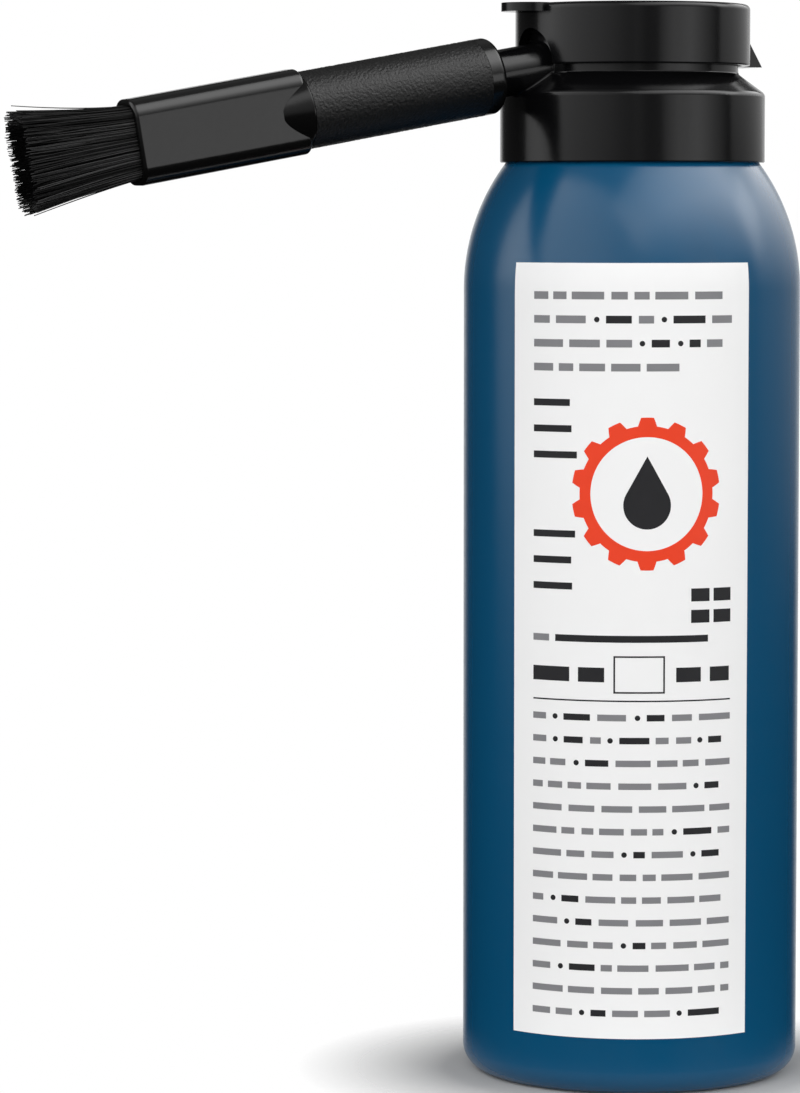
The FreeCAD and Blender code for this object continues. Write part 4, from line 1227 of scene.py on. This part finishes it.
class LUBE_OT_valve(bpy.types.Operator):
    """Gives the inner pieces their finishes, and puts a smooth copy of its own in place of the spring."""
    bl_idname = "lube.valve"
    bl_label = "Valve"

    def execute(self, context):
        head = context.scene.lube_head
        tinplate = finish("tinplate", (0.6, 0.6, 0.58), 0.3, metal=1.0, fine=0.2, vary=0.08, bump=0.03)
        rubber = finish("seal_rubber", (0.02, 0.02, 0.02), 0.7, fine=0.1, vary=0.2, bump=0.08)
        moulded = finish("valve_plastic", (0.75, 0.75, 0.72), 0.4, fine=0.2, vary=0.05, bump=0.03)
        steel = finish("spring_steel", (0.55, 0.55, 0.56), 0.25, metal=1.0, fine=0.1, vary=0.1, bump=0.05)
        tube = finish("tube_plastic", (0.7, 0.72, 0.7), 0.35, fine=0.2, vary=0.05, bump=0.03)
        finishes = {
            tinplate: ("valve_cup",),
            rubber: ("cup_gasket", "stem_gasket", "plunger_seal_upper", "plunger_seal_lower"),
            moulded: ("valve_housing", "valve_stem", "plunger"),
            tube: ("dip_tube",),
        }
        for material, nodes in finishes.items():
            for node in nodes:
                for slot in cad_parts[node].material_slots:
                    slot.material = material
        spring = smooth_copy("valve_spring", "spring", steel, head.crease)
        spring.modifiers.clear()
        attach(spring, "bottle", "spring_steel", "valve_spring")
        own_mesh(spring)
        return {"FINISHED"}


class LUBE_OT_stage(bpy.types.Operator):
    """Sets the camera, the soft boxes, the room and the floor."""
    bl_idname = "lube.stage"
    bl_label = "Stage"

    def execute(self, context):
        stage = context.scene.lube_stage
        context.scene.view_settings.view_transform = "Standard"
        place_camera(context, stage)
        light_room(context, stage)
        light_object(stage)
        lay_floor(context, stage)
        return {"FINISHED"}


def place_camera(context, stage):
    """Camera at the photograph's viewing angle."""
    data = bpy.data.cameras.new("camera")
    data.lens = stage.lens
    camera = bpy.data.objects.new("camera", data)
    camera.location = stage.camera
    ahead = Vector(stage.aim) - Vector(stage.camera)
    camera.rotation_euler = ahead.to_track_quat("-Z", "Y").to_euler()
    context.scene.collection.objects.link(camera)
    context.scene.camera = camera


def camera_side(stage):
    """Level directions from the object to the camera and to the camera's right."""
    front = Vector((stage.camera[0], stage.camera[1], 0)).normalized()
    return front, Vector((-front.y, front.x, 0))


def light_room(context, stage):
    """World that is dim for the light and white for the eye, also where a surface mirrors the backdrop."""
    world = bpy.data.worlds.new("room")
    context.scene.world = world
    world.use_nodes = True
    graph = Graph(world.node_tree)
    background = world.node_tree.nodes["Background"]
    path = graph.add("ShaderNodeLightPath").outputs
    mirrored = graph.math("MAXIMUM", path["Is Glossy Ray"], path["Is Transmission Ray"])
    way = graph.add("ShaderNodeTexCoord").outputs["Object"]

    # The white backdrop is mirrored only behind the object and low, so that the room stays dim elsewhere
    behind = graph.measure("DOT_PRODUCT", way, -camera_side(stage)[0])
    backdrop = graph.remap(behind, 0.89, 0.985, 0.0, 1.0)
    height = graph.split(way)[2]
    low_backdrop = graph.math("MULTIPLY", backdrop, graph.remap(height, 0.15, 0.4, 1.0, 0.0))
    seen = graph.math("MAXIMUM", path["Is Camera Ray"], graph.math("MULTIPLY", mirrored, low_backdrop))

    # The walls darken towards the floor, and the ceiling is brighter
    walls = graph.math("MULTIPLY", graph.remap(height, -0.12, 0.02, 0.2, 1.0), stage.room)
    dim = graph.math("ADD", walls, graph.remap(height, 0.5, 0.8, 0.0, stage.ceiling))
    strength = graph.add("ShaderNodeMix", {"Factor": seen}, data_type="FLOAT")
    graph.feed(strength.inputs[2], dim)
    graph.feed(strength.inputs[3], 1.0)
    graph.feed(background.inputs["Strength"], strength.outputs[0])
    background.inputs["Color"].default_value = (1, 1, 1, 1)


def light_object(stage):
    """Soft boxes for the highlights, one more for the sheen alone, and two fills that no surface mirrors."""
    soft_box(
        "soft_box_left", stage, turn=-47, distance=0.75, height=0.6, size=(2.4, 1.2),
        brightness=stage.left_light, across=(0.5, 1, 0.58, 0.22, 0.05), up=(0.34, 1, 1, 1, 1, 1))
    soft_box(
        "soft_box_front", stage, turn=22, distance=0.8, height=0.6, size=(0.6, 1.2),
        brightness=stage.front_light)
    soft_box(
        "soft_box_right", stage, turn=58, distance=0.8, height=0.12, size=(1.0, 0.26),
        brightness=stage.right_light, across=(0.2, 0.75, 1, 0.42, 0.03))
    soft_box(
        "soft_box_back", stage, turn=126, distance=0.9, height=0.4, size=(1.12, 0.8),
        brightness=stage.back_light, up=(0.05, 0.17, 0.4, 0.7, 1, 0.8, 0.45))
    sheen = soft_box(
        "soft_box_top", stage, turn=58, distance=0.62, height=0.72, size=(2.0, 1.1), aim=0.12,
        brightness=stage.top_light, across=(0.25, 0.42, 0.8, 1, 0.3), up=(0.08, 0.42, 1, 0.9, 0.5))
    sheen.visible_diffuse = False
    for name, turn, distance in (("soft_box_fill_left", -15, 1.1), ("soft_box_fill_right", 62, 1.3)):
        fill = soft_box(
            name, stage, turn=turn, distance=distance, height=0.5, size=(1.2, 1.2), aim=0.08,
            brightness=stage.fill_light)
        fill.visible_glossy = False


def soft_box(name, stage, turn, distance, height, size, brightness, aim=None, across=(1, 1), up=(1, 1)):
    """Area lamp, turned from the camera's side by degrees, level or aimed at a height on the can's axis.

    Its brightness runs through the given shares across the lamp and up the lamp.
    """
    data = bpy.data.lights.new(name, "AREA")
    data.shape = "RECTANGLE"
    data.size, data.size_y = size
    data.energy = brightness * math.pi * size[0] * size[1]
    data.use_nodes = True
    graph = Graph(data.node_tree)
    x, y, _ = graph.split(graph.add("ShaderNodeNewGeometry").outputs["Parametric"])
    strength = graph.math("MULTIPLY", graph.ramp(x, across), graph.ramp(y, up))
    graph.feed(data.node_tree.nodes["Emission"].inputs["Strength"], strength)
    lamp = bpy.data.objects.new(name, data)
    front, side = camera_side(stage)
    way = front * math.cos(math.radians(turn)) + side * math.sin(math.radians(turn))
    lamp.location = way * distance + Vector((0, 0, height))
    target = Vector((0, 0, height if aim is None else aim))
    lamp.rotation_euler = (target - lamp.location).to_track_quat("-Z", "Y").to_euler()
    lamp.visible_camera = False
    bpy.context.scene.collection.objects.link(lamp)
    return lamp


def lay_floor(context, stage):
    """Round pale floor that fades out and keeps the object's shadow."""
    mesh = bpy.data.meshes.new("floor")
    work = bmesh.new()
    bmesh.ops.create_circle(work, cap_ends=True, segments=96, radius=stage.floor_radius)
    work.to_mesh(mesh)
    work.free()
    floor = bpy.data.objects.new("floor", mesh)
    context.scene.collection.objects.link(floor)
    material = bpy.data.materials.new("floor")
    material.use_nodes = True
    graph = Graph(material.node_tree)
    nodes = material.node_tree.nodes
    nodes.remove(nodes["Principled BSDF"])
    matt = graph.out("ShaderNodeBsdfDiffuse", {"Color": tuple(stage.floor) + (1,)})
    clear = graph.out("ShaderNodeBsdfTransparent")
    far = graph.measure("LENGTH", graph.add("ShaderNodeTexCoord").outputs["Object"])
    fade = graph.remap(far, stage.floor_radius * 0.55, stage.floor_radius, 0.0, 1.0)
    surface = graph.out("ShaderNodeMixShader", {0: fade, 1: matt, 2: clear})
    graph.feed(nodes["Material Output"].inputs[0], surface)
    mesh.materials.append(material)


class LUBE_PT_panel(bpy.types.Panel):
    """Lists the settings and the steps that dress the bottle."""
    bl_idname = "LUBE_PT_panel"
    bl_label = "Lube Bottle"
    bl_space_type = "VIEW_3D"
    bl_region_type = "UI"
    bl_category = "Lube Bottle"

    def draw(self, context):
        for name, group in SETTINGS.items():
            box = self.layout.box()
            box.label(text=group.__doc__)
            for value in group.__annotations__:
                box.prop(getattr(context.scene, name), value)
        for operator in OPERATORS:
            self.layout.operator(operator.bl_idname)


SETTINGS = {
    "lube_can": CanSettings,
    "lube_label": LabelSettings,
    "lube_head": HeadSettings,
    "lube_brush": BrushSettings,
    "lube_stage": StageSettings,
}
OPERATORS = (
    LUBE_OT_can,
    LUBE_OT_label,
    LUBE_OT_print,
    LUBE_OT_head,
    LUBE_OT_brush,
    LUBE_OT_bristles,
    LUBE_OT_valve,
    LUBE_OT_stage,
)


def register():
    """Registers the settings, the operators and the panel."""
    for name, group in SETTINGS.items():
        bpy.utils.register_class(group)
        setattr(bpy.types.Scene, name, bpy.props.PointerProperty(type=group))
    for cls in OPERATORS + (LUBE_PT_panel,):
        bpy.utils.register_class(cls)


def unregister():
    """Takes back what register added."""
    for cls in (LUBE_PT_panel,) + OPERATORS:
        bpy.utils.unregister_class(cls)
    for name, group in SETTINGS.items():
        delattr(bpy.types.Scene, name)
        bpy.utils.unregister_class(group)


def main():
    """Dresses the bottle step by step."""
    register()
    bpy.ops.lube.can()
    bpy.ops.lube.label()
    bpy.ops.lube.print()
    bpy.ops.lube.head()
    bpy.ops.lube.brush()
    bpy.ops.lube.bristles()
    bpy.ops.lube.valve()
    bpy.ops.lube.stage()


if __name__ == "__main__":
    main()
